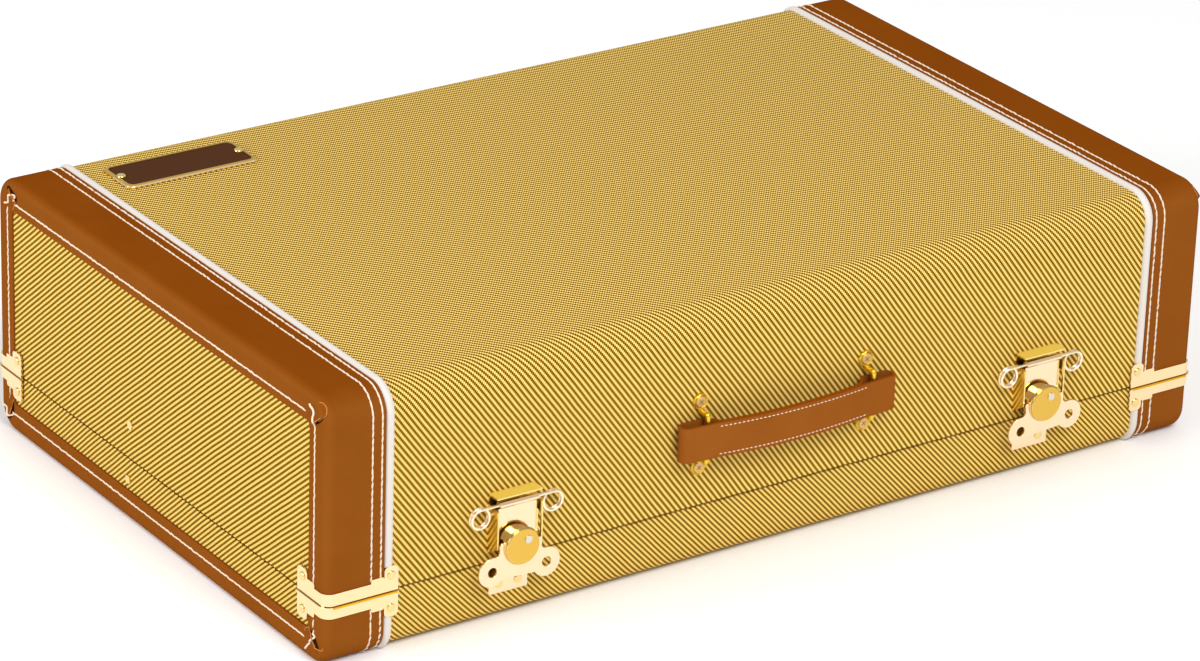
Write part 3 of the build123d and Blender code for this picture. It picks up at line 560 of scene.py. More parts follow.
@dataclass
class Cloth:
    """The striped cloth: one wrap on the lid, one under the tray, and a panel in each end."""

    body: CaseBody

    def wrap(self, half: str) -> bpy.types.Object:
        """Makes one wrap, unrolled along its section.

        Args:
            half: lid or base.

        Returns:
            The piece.
        """
        paths = [self.body.run(inset, half == "lid") for inset in (0.0, self.body.cloth)]
        reach = self.body.cloth_half
        count = len(paths[0])
        points = [(x, y, z) for x in (-reach, reach) for path in paths for y, z, _ in path]
        flat = [(x * MM, length * MM) for x in (-reach, reach) for path in paths for _, _, length in path]
        faces: list[tuple[int, ...]] = []
        for index in range(count - 1):
            a, b, c, d = index, count + index, 2 * count + index, 3 * count + index
            faces += [(a, a + 1, c + 1, c), (b, d, d + 1, b + 1), (a, b, b + 1, a + 1), (c, c + 1, d + 1, d)]
        for index in (0, count - 1):
            faces.append((index, 2 * count + index, 3 * count + index, count + index))
        piece = solid(f"{half}_cloth", (points, faces), Finish[f"TWEED_{half.upper()}"])
        unroll(piece, lambda index, place: flat[index])
        face_out(piece)
        shade(piece)
        return piece

    def panel(self, half: str, side: str) -> bpy.types.Object:
        """Makes one end panel from its frame node's shape, turned in at the seam.

        Args:
            half: lid or base.
            side: left or right.

        Returns:
            The piece.
        """
        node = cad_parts[f"{half}_end_cloth_{side}"]
        piece = bpy.data.objects.new(f"{half}_end_panel_cloth_{side}", node.data.copy())
        bpy.context.scene.collection.objects.link(piece)
        face_out(piece)
        lift = (1 if half == "lid" else -1) * self.body.turned_in * MM
        for vertex in piece.data.vertices:
            if abs(vertex.co.z / MM - self.body.seam) < 2 * self.body.seam_gap:
                vertex.co.z += lift
        sign = -1 if side == "left" else 1
        unroll(piece, lambda index, place: (sign * place.y, place.z))
        piece.data.materials.clear()
        piece.data.materials.append(finish_of(Finish[f"TWEED_{half.upper()}_END"]))
        return piece

    def build(self) -> None:
        """Makes every cloth piece in place of its frame node."""
        for half in ("lid", "base"):
            settle(self.wrap(half), half, f"{half}_cloth_wrap")
            for side in ("left", "right"):
                settle(self.panel(half, side), half, f"{half}_end_cloth_{side}")


# ------------------------------------------------------------------ what follows a path
def group(name: str, inputs: dict[str, str]) -> tuple[bpy.types.NodeTree, Any]:
    """Starts a Geometry Nodes tree that takes a mesh of edges as its paths.

    Args:
        name: the tree's name.
        inputs: the kind of each named input.

    Returns:
        The tree, and the outputs of its input node.
    """
    tree = bpy.data.node_groups.new(name, "GeometryNodeTree")
    sockets = {"Geometry": "Geometry", **inputs}
    for socket, kind in sockets.items():
        tree.interface.new_socket(socket, in_out="INPUT", socket_type=f"NodeSocket{kind}")
    tree.interface.new_socket("Geometry", in_out="OUTPUT", socket_type="NodeSocketGeometry")
    return tree, add(tree, "NodeGroupInput").outputs


def finished(tree: bpy.types.NodeTree, geometry: Any, material: Any) -> None:
    """Ends a tree: instances made real, then the material.

    Args:
        tree: the tree.
        geometry: the socket of what it made.
        material: the socket of its material.
    """
    real = add(tree, "GeometryNodeRealizeInstances", {0: geometry})
    coated = add(tree, "GeometryNodeSetMaterial", {"Geometry": real.outputs[0], "Material": material})
    add(tree, "NodeGroupOutput", {0: coated.outputs[0]})


def grown(
    name: str, tree: bpy.types.NodeTree, rows: Iterable[Sequence[Point]], values: dict[str, Any]
) -> bpy.types.Object:
    """Runs a Geometry Nodes tree over paths and keeps the result as a plain mesh.

    Args:
        name: the piece's name.
        tree: the node tree.
        rows: paths in millimetres.
        values: the tree's inputs by name.

    Returns:
        The piece, at the origin.
    """
    points: list[Point] = []
    edges: list[tuple[int, int]] = []
    for row in rows:
        start = len(points)
        points += [tuple(c * MM for c in p) for p in row]
        edges += [(i, i + 1) for i in range(start, len(points) - 1)]
    mesh = bpy.data.meshes.new(name + "_paths")
    mesh.from_pydata(points, edges, [])
    guide = bpy.data.objects.new(name + "_paths", mesh)
    bpy.context.scene.collection.objects.link(guide)
    modifier = guide.modifiers.new("growth", "NODES")
    modifier.node_group = tree
    for item in tree.interface.items_tree:
        if item.in_out == "INPUT" and item.name in values:
            modifier[item.identifier] = values[item.name]
    graph = bpy.context.evaluated_depsgraph_get()
    done = bpy.data.meshes.new_from_object(guide.evaluated_get(graph))
    bpy.data.objects.remove(guide)
    piece = bpy.data.objects.new(name, done)
    bpy.context.scene.collection.objects.link(piece)
    return piece


@dataclass(frozen=True)
class Sewing:
    """A row's stitches: sizes in millimetres, and their turn off the row in radians."""

    pitch: float
    length: float
    thickness: float
    slant: float


class StitchTree:
    """A Geometry Nodes tree that lays stitches along every path of a mesh of edges."""

    def __init__(self, wander: float = 0.19, seed: int = 11) -> None:
        """Builds the tree once.

        Args:
            wander: how far a stitch may turn off its slant by chance, in radians.
            seed: of that chance.
        """
        kinds = dict.fromkeys(("Pitch", "Length", "Thickness", "Slant"), "Float")
        self.tree, given = group("stitch_rows", {**kinds, "Thread": "Material"})
        tree = self.tree
        paths = add(tree, "GeometryNodeMeshToCurve", {"Mesh": given["Geometry"]})
        spaced = {"Curve": paths.outputs[0], "Length": given["Pitch"]}
        points = add(tree, "GeometryNodeCurveToPoints", spaced, mode="LENGTH")
        chance = add(
            tree, "FunctionNodeRandomValue", {"Min": -wander, "Max": wander, "Seed": seed}, data_type="FLOAT"
        )
        turn = add(tree, "ShaderNodeCombineXYZ", {"X": sums(tree, "ADD", given["Slant"], chance.outputs[1])})
        aim = add(
            tree, "FunctionNodeRotateRotation",
            {"Rotation": points.outputs["Rotation"], "Rotate By": turn.outputs[0]}, rotation_space="LOCAL",
        )
        stitch = add(tree, "GeometryNodeMeshUVSphere", {"Segments": 8, "Rings": 6, "Radius": 0.5})
        thick = given["Thickness"]
        size = add(tree, "ShaderNodeCombineXYZ", {"X": thick, "Y": thick, "Z": given["Length"]})
        laid = add(
            tree, "GeometryNodeInstanceOnPoints",
            {"Points": points.outputs["Points"], "Instance": stitch.outputs["Mesh"],
             "Rotation": aim.outputs[0], "Scale": size.outputs[0]},
        )
        finished(tree, laid.outputs[0], given["Thread"])

    def lay(self, name: str, rows: Iterable[Sequence[Point]], body: str, sewing: Sewing) -> None:
        """Makes one body's stitches as a plain mesh.

        Args:
            name: the piece's name.
            rows: paths in millimetres.
            body: the body that they ride on.
            sewing: the stitches' sizes.
        """
        values = {
            "Pitch": sewing.pitch * MM, "Length": sewing.length * MM, "Thickness": sewing.thickness * MM,
            "Slant": sewing.slant, "Thread": finish_of(Finish.THREAD),
        }
        piece = grown(name, self.tree, rows, values)
        piece.data.shade_smooth()
        settle(piece, body)


class CordTree:
    """A Geometry Nodes tree that runs a round cord or wire along every path of a mesh of edges."""

    def __init__(self, sides: int = 12) -> None:
        """Builds the tree once.

        Args:
            sides: flats round the cord.
        """
        self.tree, given = group("round_cord", {"Radius": "Float", "Skin": "Material"})
        tree = self.tree
        paths = add(tree, "GeometryNodeMeshToCurve", {"Mesh": given["Geometry"]})
        path = {"Curve": paths.outputs[0]}
        bent = add(tree, "GeometryNodeCurveSplineType", path, spline_type="CATMULL_ROM")
        ring = add(tree, "GeometryNodeCurvePrimitiveCircle", {"Resolution": sides, "Radius": given["Radius"]})
        swept = add(
            tree, "GeometryNodeCurveToMesh",
            {"Curve": bent.outputs[0], "Profile Curve": ring.outputs[0], "Fill Caps": True},
        )
        smooth = add(tree, "GeometryNodeSetShadeSmooth", {0: swept.outputs[0]})
        finished(tree, smooth.outputs[0], given["Skin"])

    def run(
        self, name: str, rows: Iterable[Sequence[Point]], radius: float, look: Finish
    ) -> bpy.types.Object:
        """Makes cords along paths in millimetres, as one plain mesh."""
        return grown(name, self.tree, rows, {"Radius": radius * MM, "Skin": finish_of(look)})


# ------------------------------------------------------------------ leather ends
@dataclass(frozen=True)
class Tuck:
    """How the border's leather is folded over at one corner of an end face.

    Places are in millimetres: along the depth from the front or back, and from the top or underside.
    The free edge is given along the corner's diagonal and across it. The lips are lighter lines beside it,
    painted highlights along the fold's creases.
    """

    free_edge: Pairs
    tail: Pairs
    side_row_end: float
    level_row_end: float
    lips: tuple[Pairs, ...] = ()

    @property
    def span(self) -> tuple[float, float]:
        """The free edge's two ends along the diagonal."""
        return self.free_edge[0][0], self.free_edge[-1][0]


# By whether the corner is on the lid, and whether it is at the front
TUCKS: dict[tuple[bool, bool], Tuck] = {
    (True, True): Tuck(
        ((2.0, 2.4), (8.0, 3.5), (14.0, 4.0), (17.6, 3.2)),
        ((17.7, 6.0), (17.0, 7.2), (14.2, 8.2), (12.2, 10.0), (12.5, 12.5), (11.6, 14.6), (12.3, 17.0)),
        16.5, 25.4,
        (((8.2, 13.4), (4.5, 10.2), (3.0, 7.8), (3.8, 5.5), (5.2, 3.8), (7.8, 2.4), (9.5, 2.5)),),
    ),
    (False, True): Tuck(
        ((-1.0, 2.6), (4.4, 4.1), (8.1, 3.2), (14.0, 3.4)),
        ((12.3, 18.6), (10.2, 17.0), (12.8, 14.2), (14.8, 11.2), (17.5, 8.8), (20.2, 5.5)),
        18.1, 24.9,
        (
            ((8.6, 12.6), (7.2, 11.5), (4.8, 10.5), (3.3, 11.0), (2.6, 12.6)),
            ((21.8, 16.4), (20.2, 18.8), (16.2, 20.6)),
        ),
    ),
    (True, False): Tuck(
        ((-0.7, 2.5), (0.0, 8.4), (1.9, 11.8), (7.4, 9.9), (13.1, 7.8)),
        ((9.5, 15.5), (14.2, 13.5), (15.2, 10.0), (17.8, 7.2), (22.5, 6.5), (23.6, 9.4)),
        19.7, 22.2,
    ),
    (False, False): Tuck(
        ((-2.8, -3.2), (3.0, 1.2), (6.9, 2.7), (13.0, 3.2)),
        ((3.5, 13.5), (9.0, 13.8), (10.5, 11.8), (12.0, 9.8), (15.5, 10.8), (17.0, 12.4)),
        22.1, 16.0,
    ),
}


@dataclass
class LeatherEnds:
    """Leather over both ends with its stitch rows and folded corners, and the white welt beside it."""

    body: CaseBody
    stitches: StitchTree
    cords: CordTree
    sewing: Sewing = Sewing(4.6, 6.3, 1.3, 0.1)
    sunk: float = 0.12
    welt_x: float = 277.6
    rows: tuple[float, ...] = (5.6, 12.0)
    band_clip: float = 10.0
    border_row: float = 12.4
    border_clip: float = 9.0
    edge_round: float = 5.5
    least_inset: float = 0.05
    tuck_start: float = 17.5
    tuck_width: float = 9.0
    tuck_rise: float = 1.75
    tuck_root: float = 0.3
    rise_run: float = 3.0
    fall_run: float = 1.6
    crown: float = 1.6
    tuck_steps: int = 16
    tuck_columns: int = 9
    # The dark strip under each fold's free edge is painted shadow; these fields size it
    shadow_width: float = 1.3
    shadow_under: float = 0.25
    shadow_taper: float = 0.7
    shadow_reach: float = 0.97
    shadow_foot: float = 0.1
    shadow_end: float = 0.06
    tail_radius: float = 0.65
    tail_lift: float = 0.6
    # The lighter cords along the folds are painted highlights
    highlight_radius: float = 0.32
    highlight_inset: float = 0.4

    def band_rows(self, lid: bool) -> list[list[Point]]:
        """Paths of the rows round the section beside each welt, from under the clips.

        Args:
            lid: on the lid, or else on the tray.

        Returns:
            One path for each row of each end.
        """
        rise = self.body.leather_rise - self.sunk
        start = self.body.seam + (self.band_clip if lid else -self.band_clip)
        paths = []
        for side in (-1, 1):
            for away in self.rows:
                x = side * (self.welt_x + away)
                path = [(x, y, z) for y, z, _ in self.body.run(-rise, lid)]
                for end in (0, -1):
                    path[end] = (x, path[end][1], start)
                if not lid:
                    path = [(x, y, max(z, -self.sunk)) for _, y, z in path]
                paths.append(path)
        return paths

    def border_rows(self, lid: bool) -> list[list[Point]]:
        """Paths of the rows round each end's cloth panel, which stop short of the folds.

        Args:
            lid: on the lid, or else on the tray.

        Returns:
            Three paths for each end.
        """
        reach = self.body.half_depth
        wide = reach - self.border_row
        level = self.body.height - self.border_row if lid else self.border_row
        start = self.body.seam + (self.border_clip if lid else -self.border_clip)
        front, back = TUCKS[lid, True], TUCKS[lid, False]
        paths = []
        for side in (-1, 1):
            x = side * (self.body.half_length - self.sunk)
            paths.append([(x, front.level_row_end - reach, level), (x, reach - back.level_row_end, level)])
            for hand, tuck in ((-1, front), (1, back)):
                end = self.body.height - tuck.side_row_end if lid else tuck.side_row_end
                paths.append([(x, hand * wide, start), (x, hand * wide, end)])
        return paths

    def swell(self, tuck: Tuck, along: float, across: float) -> float:
        """How far the folded leather stands up at a place of a corner.

        Args:
            tuck: the corner's fold.
            along: the place along the corner's diagonal.
            across: the place across it.

        Returns:
            The height over the leather.
        """
        part = (across - self.edge_at(tuck, along) + self.tuck_width) / self.tuck_width
        first, last = tuck.span
        if not 0 <= part <= 1 or not first <= along <= last:
            return 0.0
        start = min((along - first) / self.rise_run, 1.0)
        end = max(min((last - along) / self.fall_run, 1.0), 0.0)
        fall = (start * start * (3 - 2 * start)) * math.sqrt(end)
        return self.tuck_rise * fall * math.sin(math.pi / 2 * part ** self.crown)

    @staticmethod
    def edge_at(tuck: Tuck, along: float) -> float:
        """Finds the free edge's place across the diagonal.

        Args:
            tuck: the corner's fold.
            along: the place along the diagonal.

        Returns:
            The place across it.
        """
        for (a, low), (b, high) in zip(tuck.free_edge, tuck.free_edge[1:]):
            if along <= b:
                return low + (high - low) * max((along - a) / (b - a), 0.0)
        return tuck.free_edge[-1][1]

    def on_corner(self, lid: bool, side: int, front: bool, u: float, v: float, rise: float) -> Point:
        """A point of an end face's corner.

        Args:
            lid: on the lid, or else on the tray.
            side: -1 at the left end, 1 at the right.
            front: at the front, or else at the back.
            u: along the depth, from the front or back.
            v: from the top or the underside.
            rise: how far it stands off the leather.

        Returns:
            The point, in the case's frame.
        """
        centre = self.body.edge_radius
        away = math.hypot(centre - u, centre - v)
        corner = u < centre and v < centre
        inset = max((centre - away if corner else min(u, v)) + self.body.leather_rise, self.least_inset)
        lean = max(1 - inset / self.edge_round, 0.0)
        x = self.body.half_length - self.edge_round * (1 - math.sqrt(1 - lean * lean))
        x += rise * math.sqrt(1 - lean * lean)
        if corner and away > 0:
            u += (u - centre) / away * rise * lean
            v += (v - centre) / away * rise * lean
        y = (-1 if front else 1) * (self.body.half_depth - u)
        return (side * x, y, self.body.height - v if lid else v)

    def flat_place(self, front: bool, along: float, across: float) -> tuple[float, float]:
        """Turns a place on a corner's diagonal into distances from its two edges.

        Args:
            front: at the front, or else at the back.
            along: the place along the diagonal, outwards.
            across: the place across it.

        Returns:
            The distances along the depth and along the height.
        """
        hand = 1 if front else -1
        u, v = (self.tuck_start - (along + way * across) / math.sqrt(2) for way in (hand, -hand))
        return u, v

    def diagonal_place(self, front: bool, u: float, v: float) -> tuple[float, float]:
        """Turns distances from a corner's two edges into a place on its diagonal.

        Args:
            front: at the front, or else at the back.
            u: the distance along the depth.
            v: the distance along the height.

        Returns:
            The places along the diagonal and across it.
        """
        hand = 1 if front else -1
        return (2 * self.tuck_start - u - v) / math.sqrt(2), hand * (v - u) / math.sqrt(2)

    def strip(self, tuck: Tuck, along: float, share: float, shadow_strip: bool) -> Pairs:
        """One row of a fold's points, across the diagonal.

        Args:
            tuck: the corner's fold.
            along: the row's place along the diagonal.
            share: how far along the free edge that is, from nought to one.
            shadow_strip: the dark strip beneath the free side, which is painted shadow, or else the fold.

        Returns:
            Pairs of a place across the diagonal and a height over the leather.
        """
        edge = self.edge_at(tuck, along)
        if shadow_strip:
            top = self.swell(tuck, along, edge - HAIR) * self.shadow_reach
            spread = self.shadow_width * math.sin(math.pi * share) ** self.shadow_taper
            return [(edge - self.shadow_under, top), (edge, self.shadow_foot), (edge + spread, self.shadow_end)]
        fold = [(edge - self.tuck_width, -self.tuck_root)]
        for index in range(1, self.tuck_columns + 1):
            place = edge - self.tuck_width * (1 - index / self.tuck_columns)
            fold.append((place, self.swell(tuck, along, place)))
        return fold

    def tuck(self, lid: bool, side: int, front: bool, shadow_strip: bool) -> Shape:
        """One corner's fold, or the dark strip of painted shadow beneath its free side.

        Args:
            lid: on the lid, or else on the tray.
            side: -1 at the left end, 1 at the right.
            front: at the front, or else at the back.
            shadow_strip: the painted shadow strip, or else the fold.

        Returns:
            Its points and faces.
        """
        tuck = TUCKS[lid, front]
        first, last = tuck.span
        steps = self.tuck_steps
        points: list[Point] = []
        for i in range(steps + 1):
            along = first + (last - first) * i / steps
            for across, rise in self.strip(tuck, along, i / steps, shadow_strip):
                u, v = self.flat_place(front, along, across)
                points.append(self.on_corner(lid, side, front, u, v, rise))
        row = len(points) // (steps + 1)
        faces = [
            (i * row + j, (i + 1) * row + j, (i + 1) * row + j + 1, i * row + j + 1)
            for i in range(steps) for j in range(row - 1)
        ]
        return points, faces

    def laid_over(self, lid: bool, side: int, front: bool, path: Pairs, lift: float) -> list[Point]:
        """Lays a path over a corner's fold.

        Args:
            lid: on the lid, or else on the tray.
            side: -1 at the left end, 1 at the right.
            front: at the front, or else at the back.
            path: distances from the corner's two edges.
            lift: how far it stands off the leather.

        Returns:
            Its points.
        """
        laid = []
        for u, v in path:
            rise = self.swell(TUCKS[lid, front], *self.diagonal_place(front, u, v)) + lift
            laid.append(self.on_corner(lid, side, front, u, v, rise))
        return laid

    def tucks(self, half: str) -> None:
        """Makes one half's folds at every corner, with a dark strip of painted shadow under each free edge,
        lighter lips as painted highlights, and the thread's loose tails.

        Args:
            half: lid or base.
        """
        lid = half == "lid"
        corners = [(side, front) for side in (-1, 1) for front in (True, False)]
        for name, shadow_strip, look in (("tucks", False, Finish.LEATHER), ("tuck_shadows", True, Finish.TUCK_SHADOW)):
            shape = joined(self.tuck(lid, side, front, shadow_strip) for side, front in corners)
            piece = solid(f"{half}_border_{name}", shape, look)
            shade(piece, 60.0)
            settle(piece, half)
        lift = self.tail_radius * self.tail_lift
        tails, lips = [], []
        for side, front in corners:
            tuck = TUCKS[lid, front]
            ridge = [
                self.flat_place(front, along, across - self.highlight_inset) for along, across in tuck.free_edge
            ]
            tails.append(self.laid_over(lid, side, front, tuck.tail, lift))
            lips += [self.laid_over(lid, side, front, path, 0.0) for path in (ridge, *tuck.lips)]
        tails_piece = self.cords.run(f"{half}_thread_tails", tails, self.tail_radius, Finish.THREAD)
        highlights_piece = self.cords.run(f"{half}_tuck_highlights", lips, self.highlight_radius, Finish.LEATHER_HIGHLIGHT)
        for piece in (tails_piece, highlights_piece):
            settle(piece, half)

    def build(self) -> None:
        """Dresses the leather and the welt, and sews them."""
        for half in ("base", "lid"):
            for side in ("left", "right"):
                dress(f"{half}_leather_{side}", Finish.LEATHER)
                dress(f"{half}_piping_{side}", Finish.WELT)
            rows = self.band_rows(half == "lid") + self.border_rows(half == "lid")
            self.stitches.lay(f"{half}_end_stitches", rows, half, self.sewing)
            self.tucks(half)


# ------------------------------------------------------------------ handle, hardware and surroundings
@dataclass
class Handle:
    """The strap handle with its stitch rows and gold loops."""

    body: CaseBody
    stitches: StitchTree
    cords: CordTree
    sewing: Sewing = Sewing(2.9, 1.8, 0.7, 0.05)
    sewn_half: float = 53.0
    bend_half: float = 54.0
    shift: float = -1.0
    bottom: float = 77.3
    width: float = 22.3
    row_inset: float = 2.1
    row_steps: int = 12
    out_at_end: float = 13.65
    bow: float = 4.1
    loop_x: float = 61.0
    screw_top: float = 110.0
    screw_bottom: float = 67.0
    bar_top: float = 103.0
    bar_bottom: float = 74.5
    bar_radius: float = 1.85
    eye_profile: Pairs = (
        (3.65, 0.0), (3.65, 1.2), (4.0, 1.75), (4.5, 1.85), (5.0, 1.4), (5.2, 0.7), (5.2, 0.0)
    )
    eye_lobes: int = 8
    lobe_depth: float = 0.035
    head_radius: float = 3.6
    head_base: float = 0.2
    head_side: float = 1.6
    head_bevel: float = 0.4
    screw_crown: float = 2.1
    slot_length: float = 3.8
    slot_width: float = 0.55
    slot_turn: float = 35.0
    slot_lift: float = 0.03
    bar_at_screw: Pairs = ((1.0, 4.2), (1.9, 5.6))
    bar_at_end: Pairs = ((4.6, -0.9), (7.6, -0.6), (9.0, 1.4))

    def build(self) -> None:
        """Dresses the strap and sews it, and makes the loops and screws."""
        dress("handle_strap", Finish.STRAP)
        self.loops()
        self.screws()
        rows = []
        for level in (self.bottom + self.row_inset, self.bottom + self.width - self.row_inset):
            row = []
            for index in range(-self.row_steps, self.row_steps + 1):
                x = self.sewn_half * index / self.row_steps
                out = self.out_at_end + self.bow * (1 - (x / self.bend_half) ** 2)
                row.append((x + self.shift, -self.body.half_depth - out, level))
            rows.append(row)
        self.stitches.lay("handle_stitches", rows, "handle", self.sewing)

    def seats(self) -> list[tuple[float, float]]:
        """The screws' places along the case and up it."""
        return [(x, z) for x in (-self.loop_x, self.loop_x) for z in (self.screw_top, self.screw_bottom)]

    def loops(self) -> None:
        """Makes the gold loops: scalloped eyes round the screws, and a bent bar between them."""
        front = -self.body.half_depth
        eyes = joined(
            lathe(self.eye_profile, x, z, front, 48, self.eye_lobes, self.lobe_depth) for x, z in self.seats()
        )
        piece = solid("handle_eyes", eyes, Finish.LOOP_GOLD)
        face_out(piece)
        shade(piece, 50.0)
        bars = []
        for x in (-self.loop_x, self.loop_x):
            bar = []
            for screw, end, sign in (
                (self.screw_top, self.bar_top, -1), (self.screw_bottom, self.bar_bottom, 1)
            ):
                leg = [(x, front - out, screw + sign * away) for out, away in self.bar_at_screw]
                leg += [(x, front - out, end + sign * away) for out, away in self.bar_at_end]
                bar += leg if sign < 0 else leg[::-1]
            bars.append(bar)
        for part in (piece, self.cords.run("handle_bars", bars, self.bar_radius, Finish.LOOP_GOLD)):
            settle(part, "lid", "handle_loops")

    def screws(self) -> None:
        """Makes the domed screw heads and the cross in each."""
        front = -self.body.half_depth
        neck = self.head_radius - self.head_bevel
        profile = (
            (NEAR, self.head_base), (self.head_radius, self.head_base), (self.head_radius, self.head_side),
            (neck, self.screw_crown), (NEAR, self.screw_crown),
        )
        heads = joined(lathe(profile, x, z, front, 32) for x, z in self.seats())
        piece = solid("handle_screw_heads", heads, Finish.SCREW_GOLD)
        face_out(piece)
        shade(piece, 30.0)
        settle(piece, "lid", "handle_screws")
        arms = ((self.slot_length, self.slot_width), (self.slot_width, self.slot_length))
        cross = joined(self.slot_shape(x, z, wide, tall) for x, z in self.seats() for wide, tall in arms)
        settle(solid("handle_screw_slots", cross, Finish.RECESS), "lid")

    def slot_shape(self, x: float, z: float, wide: float, tall: float) -> Shape:
        """One arm of a screw's cross, turned a little, laid on the head's crown.

        Args:
            x: the screw's place along the case.
            z: its height.
            wide: the arm's size along the case, before the turn.
            tall: its size up the case.

        Returns:
            Its points and one face.
        """
        cos, sin = math.cos(math.radians(self.slot_turn)) / 2, math.sin(math.radians(self.slot_turn)) / 2
        out = -self.body.half_depth - self.screw_crown - self.slot_lift
        corners = ((-wide, -tall), (wide, -tall), (wide, tall), (-wide, tall))
        return [(x + a * cos - b * sin, out, z + a * sin + b * cos) for a, b in corners], [(0, 1, 2, 3)]


@dataclass
class Hardware:
    """Gold clips, latches, hinges, plate and rivets, and what lies inside."""

    body: CaseBody
    cords: CordTree
    rim_back: Pairs = ((-1.0, 0.0), (0.5, 0.0), (0.5, 0.35), (0.0, 0.7))
    rim_front: Pairs = ((0.0, -0.7), (-0.3, -0.2), (-0.6, -0.05), (-1.0, -0.1))
    face_inset: float = 0.6
    knob_steps: int = 56
    lip_start: float = 4.0
    lip_end: float = 47.6
    lip_height: float = 1.2
    lip_width: float = 0.9
    proud: float = 0.02
    keeper_shadow_radius: float = 4.2
    hole_aside: float = 11.1
    hole_below: float = 7.0
    mount_lip: float = 9.5
    mount_back: float = 0.2
    mount_cover: float = 0.03
    plate_radius: float = 5.0
    plate_side: float = 20.0
    plate_bevel: float = 0.3
    plate_edge: float = 1.1
    edge_radius: float = 0.5
    plain: dict[str, Finish] = field(
        default_factory=lambda: {
            "base_corner_clips": Finish.CLIP_GOLD, "lid_corner_clips": Finish.CLIP_GOLD,
            "hinge_leaves_base": Finish.GOLD, "hinge_leaves_lid": Finish.GOLD, "hinge_pins": Finish.STEEL,
            "tray_rivets": Finish.RIVET_GOLD, "lid_rivets": Finish.RIVET_GOLD,
            "name_plate": Finish.BORDER_GOLD, "name_plate_panel": Finish.ENAMEL,
            "name_plate_screws": Finish.MOUNT_GOLD,
            "stay_link_base": Finish.STEEL, "stay_link_lid": Finish.STEEL, "stay_elbow_rivet": Finish.STEEL,
            "stay_rivet_base": Finish.RIVET_GOLD, "stay_rivet_lid": Finish.RIVET_GOLD,
            "base_lining": Finish.FLOCK, "lid_lining": Finish.FLOCK, "pedal_deck": Finish.FLOCK,
            "base_bent_shell": Finish.PLY, "lid_bent_shell": Finish.PLY,
        }
    )
    paired: dict[str, Finish] = field(
        default_factory=lambda: {
            "base_end_panel": Finish.PLY, "lid_end_panel": Finish.PLY, "latch_mount": Finish.MOUNT_GOLD,
            "latch_barrel": Finish.SHADED_RIM_GOLD, "latch_spring": Finish.WIRE_GOLD, "hasp": Finish.GOLD,
            "wing_plate": Finish.GOLD, "latch_keeper": Finish.GOLD, "latch_cam": Finish.STEEL,
            "knob_rivet": Finish.NICKEL,
        }
    )

    def build(self) -> None:
        """Dresses every node of the hardware and the inside, and makes its finer pieces."""
        for node, look in self.plain.items():
            dress(node, look)
        for side in ("left", "right"):
            for node, look in self.paired.items():
                dress(f"{node}_{side}", look)
            self.knob(side)
        self.clip_edges()
        self.keeper_shadows()
        self.mount_lips()
        self.plate_border()

    def knob(self, side: str) -> None:
        """Makes one knob's cap: a satin face in a polished, rounded rim, the rim's darker gold being painted
        shade.

        Args:
            side: left or right.
        """
        front = -self.body.half_depth
        low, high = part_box(f"knob_cap_{side}")
        x, z = (low.x + high.x) / 2 / MM, (low.z + high.z) / 2 / MM
        back, out = front - high.y / MM, front - low.y / MM
        radius = (high.x - low.x) / 2 / MM
        rim = [(radius + wider, back + away) for wider, away in self.rim_back]
        rim += [(radius + wider, out + away) for wider, away in self.rim_front]
        edge = radius - self.face_inset
        face = ((NEAR, out), (edge, out), (edge, back), (NEAR, back))
        for name, profile, look in (
            (f"knob_rim_{side}", rim, Finish.SHADED_RIM_GOLD), (f"knob_face_{side}", face, Finish.SATIN_GOLD)
        ):
            piece = solid(name, lathe(profile, x, z, front, self.knob_steps), look)
            face_out(piece)
            shade(piece, 40.0)
            settle(piece, f"knob_{side}", f"knob_cap_{side}")

    def clip_edges(self) -> None:
        """Lays the bright rolled edge along the front and back arms of the tray's clips."""
        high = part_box("base_corner_clips")[1]
        top = high.z / MM
        shapes = []
        for side in (-1, 1):
            near, far = (side * (self.body.half_length - end) for end in (self.lip_start, self.lip_end))
            for hand in (-1, 1):
                outer = hand * (high.y / MM + self.proud)
                inner = outer - hand * self.lip_width
                points = [
                    (near, outer, top - self.lip_height), (far, outer, top - self.lip_height),
                    (far, outer, top), (near, outer, top),
                    (far, inner, top + self.proud), (near, inner, top + self.proud),
                ]
                shapes.append((points, [(0, 1, 2, 3), (3, 2, 4, 5)]))
        settle(solid("clip_rolled_edges", joined(shapes), Finish.GOLD_LIP), "base")

    def keeper_shadows(self) -> None:
        """Lays a dark disc on each keeper behind the wing plate's left hole, painted shadow seen through that
        hole.
        """
        shadow_discs = []
        for side in ("left", "right"):
            keeper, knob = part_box(f"latch_keeper_{side}")[0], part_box(f"knob_cap_{side}")
            x = (knob[0].x + knob[1].x) / 2 / MM - self.hole_aside
            z = self.body.seam - self.hole_below
            shadow_discs.append(lathe(((NEAR, 0.0), (self.keeper_shadow_radius, 0.0)), x, z, keeper.y / MM - self.proud, 24))
        settle(solid("latch_keeper_shadows", joined(shadow_discs), Finish.KEEPER_SHADOW), "base")

    def mount_lips(self) -> None:
        """Covers the top of each latch mount with its folded lip."""
        front = -self.body.half_depth
        lips = []
        for side in ("left", "right"):
            low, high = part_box(f"latch_mount_{side}")
            a, b, level = low.x / MM, high.x / MM, high.z / MM + self.mount_cover
            back, out = front - self.mount_back, front - self.mount_lip
            points = [(a, back, level), (b, back, level), (b, out, level), (a, out, level)]
            lips.append((points, [(0, 1, 2, 3)]))
        settle(solid("latch_mount_lips", joined(lips), Finish.MOUNT_LIP), "lid")

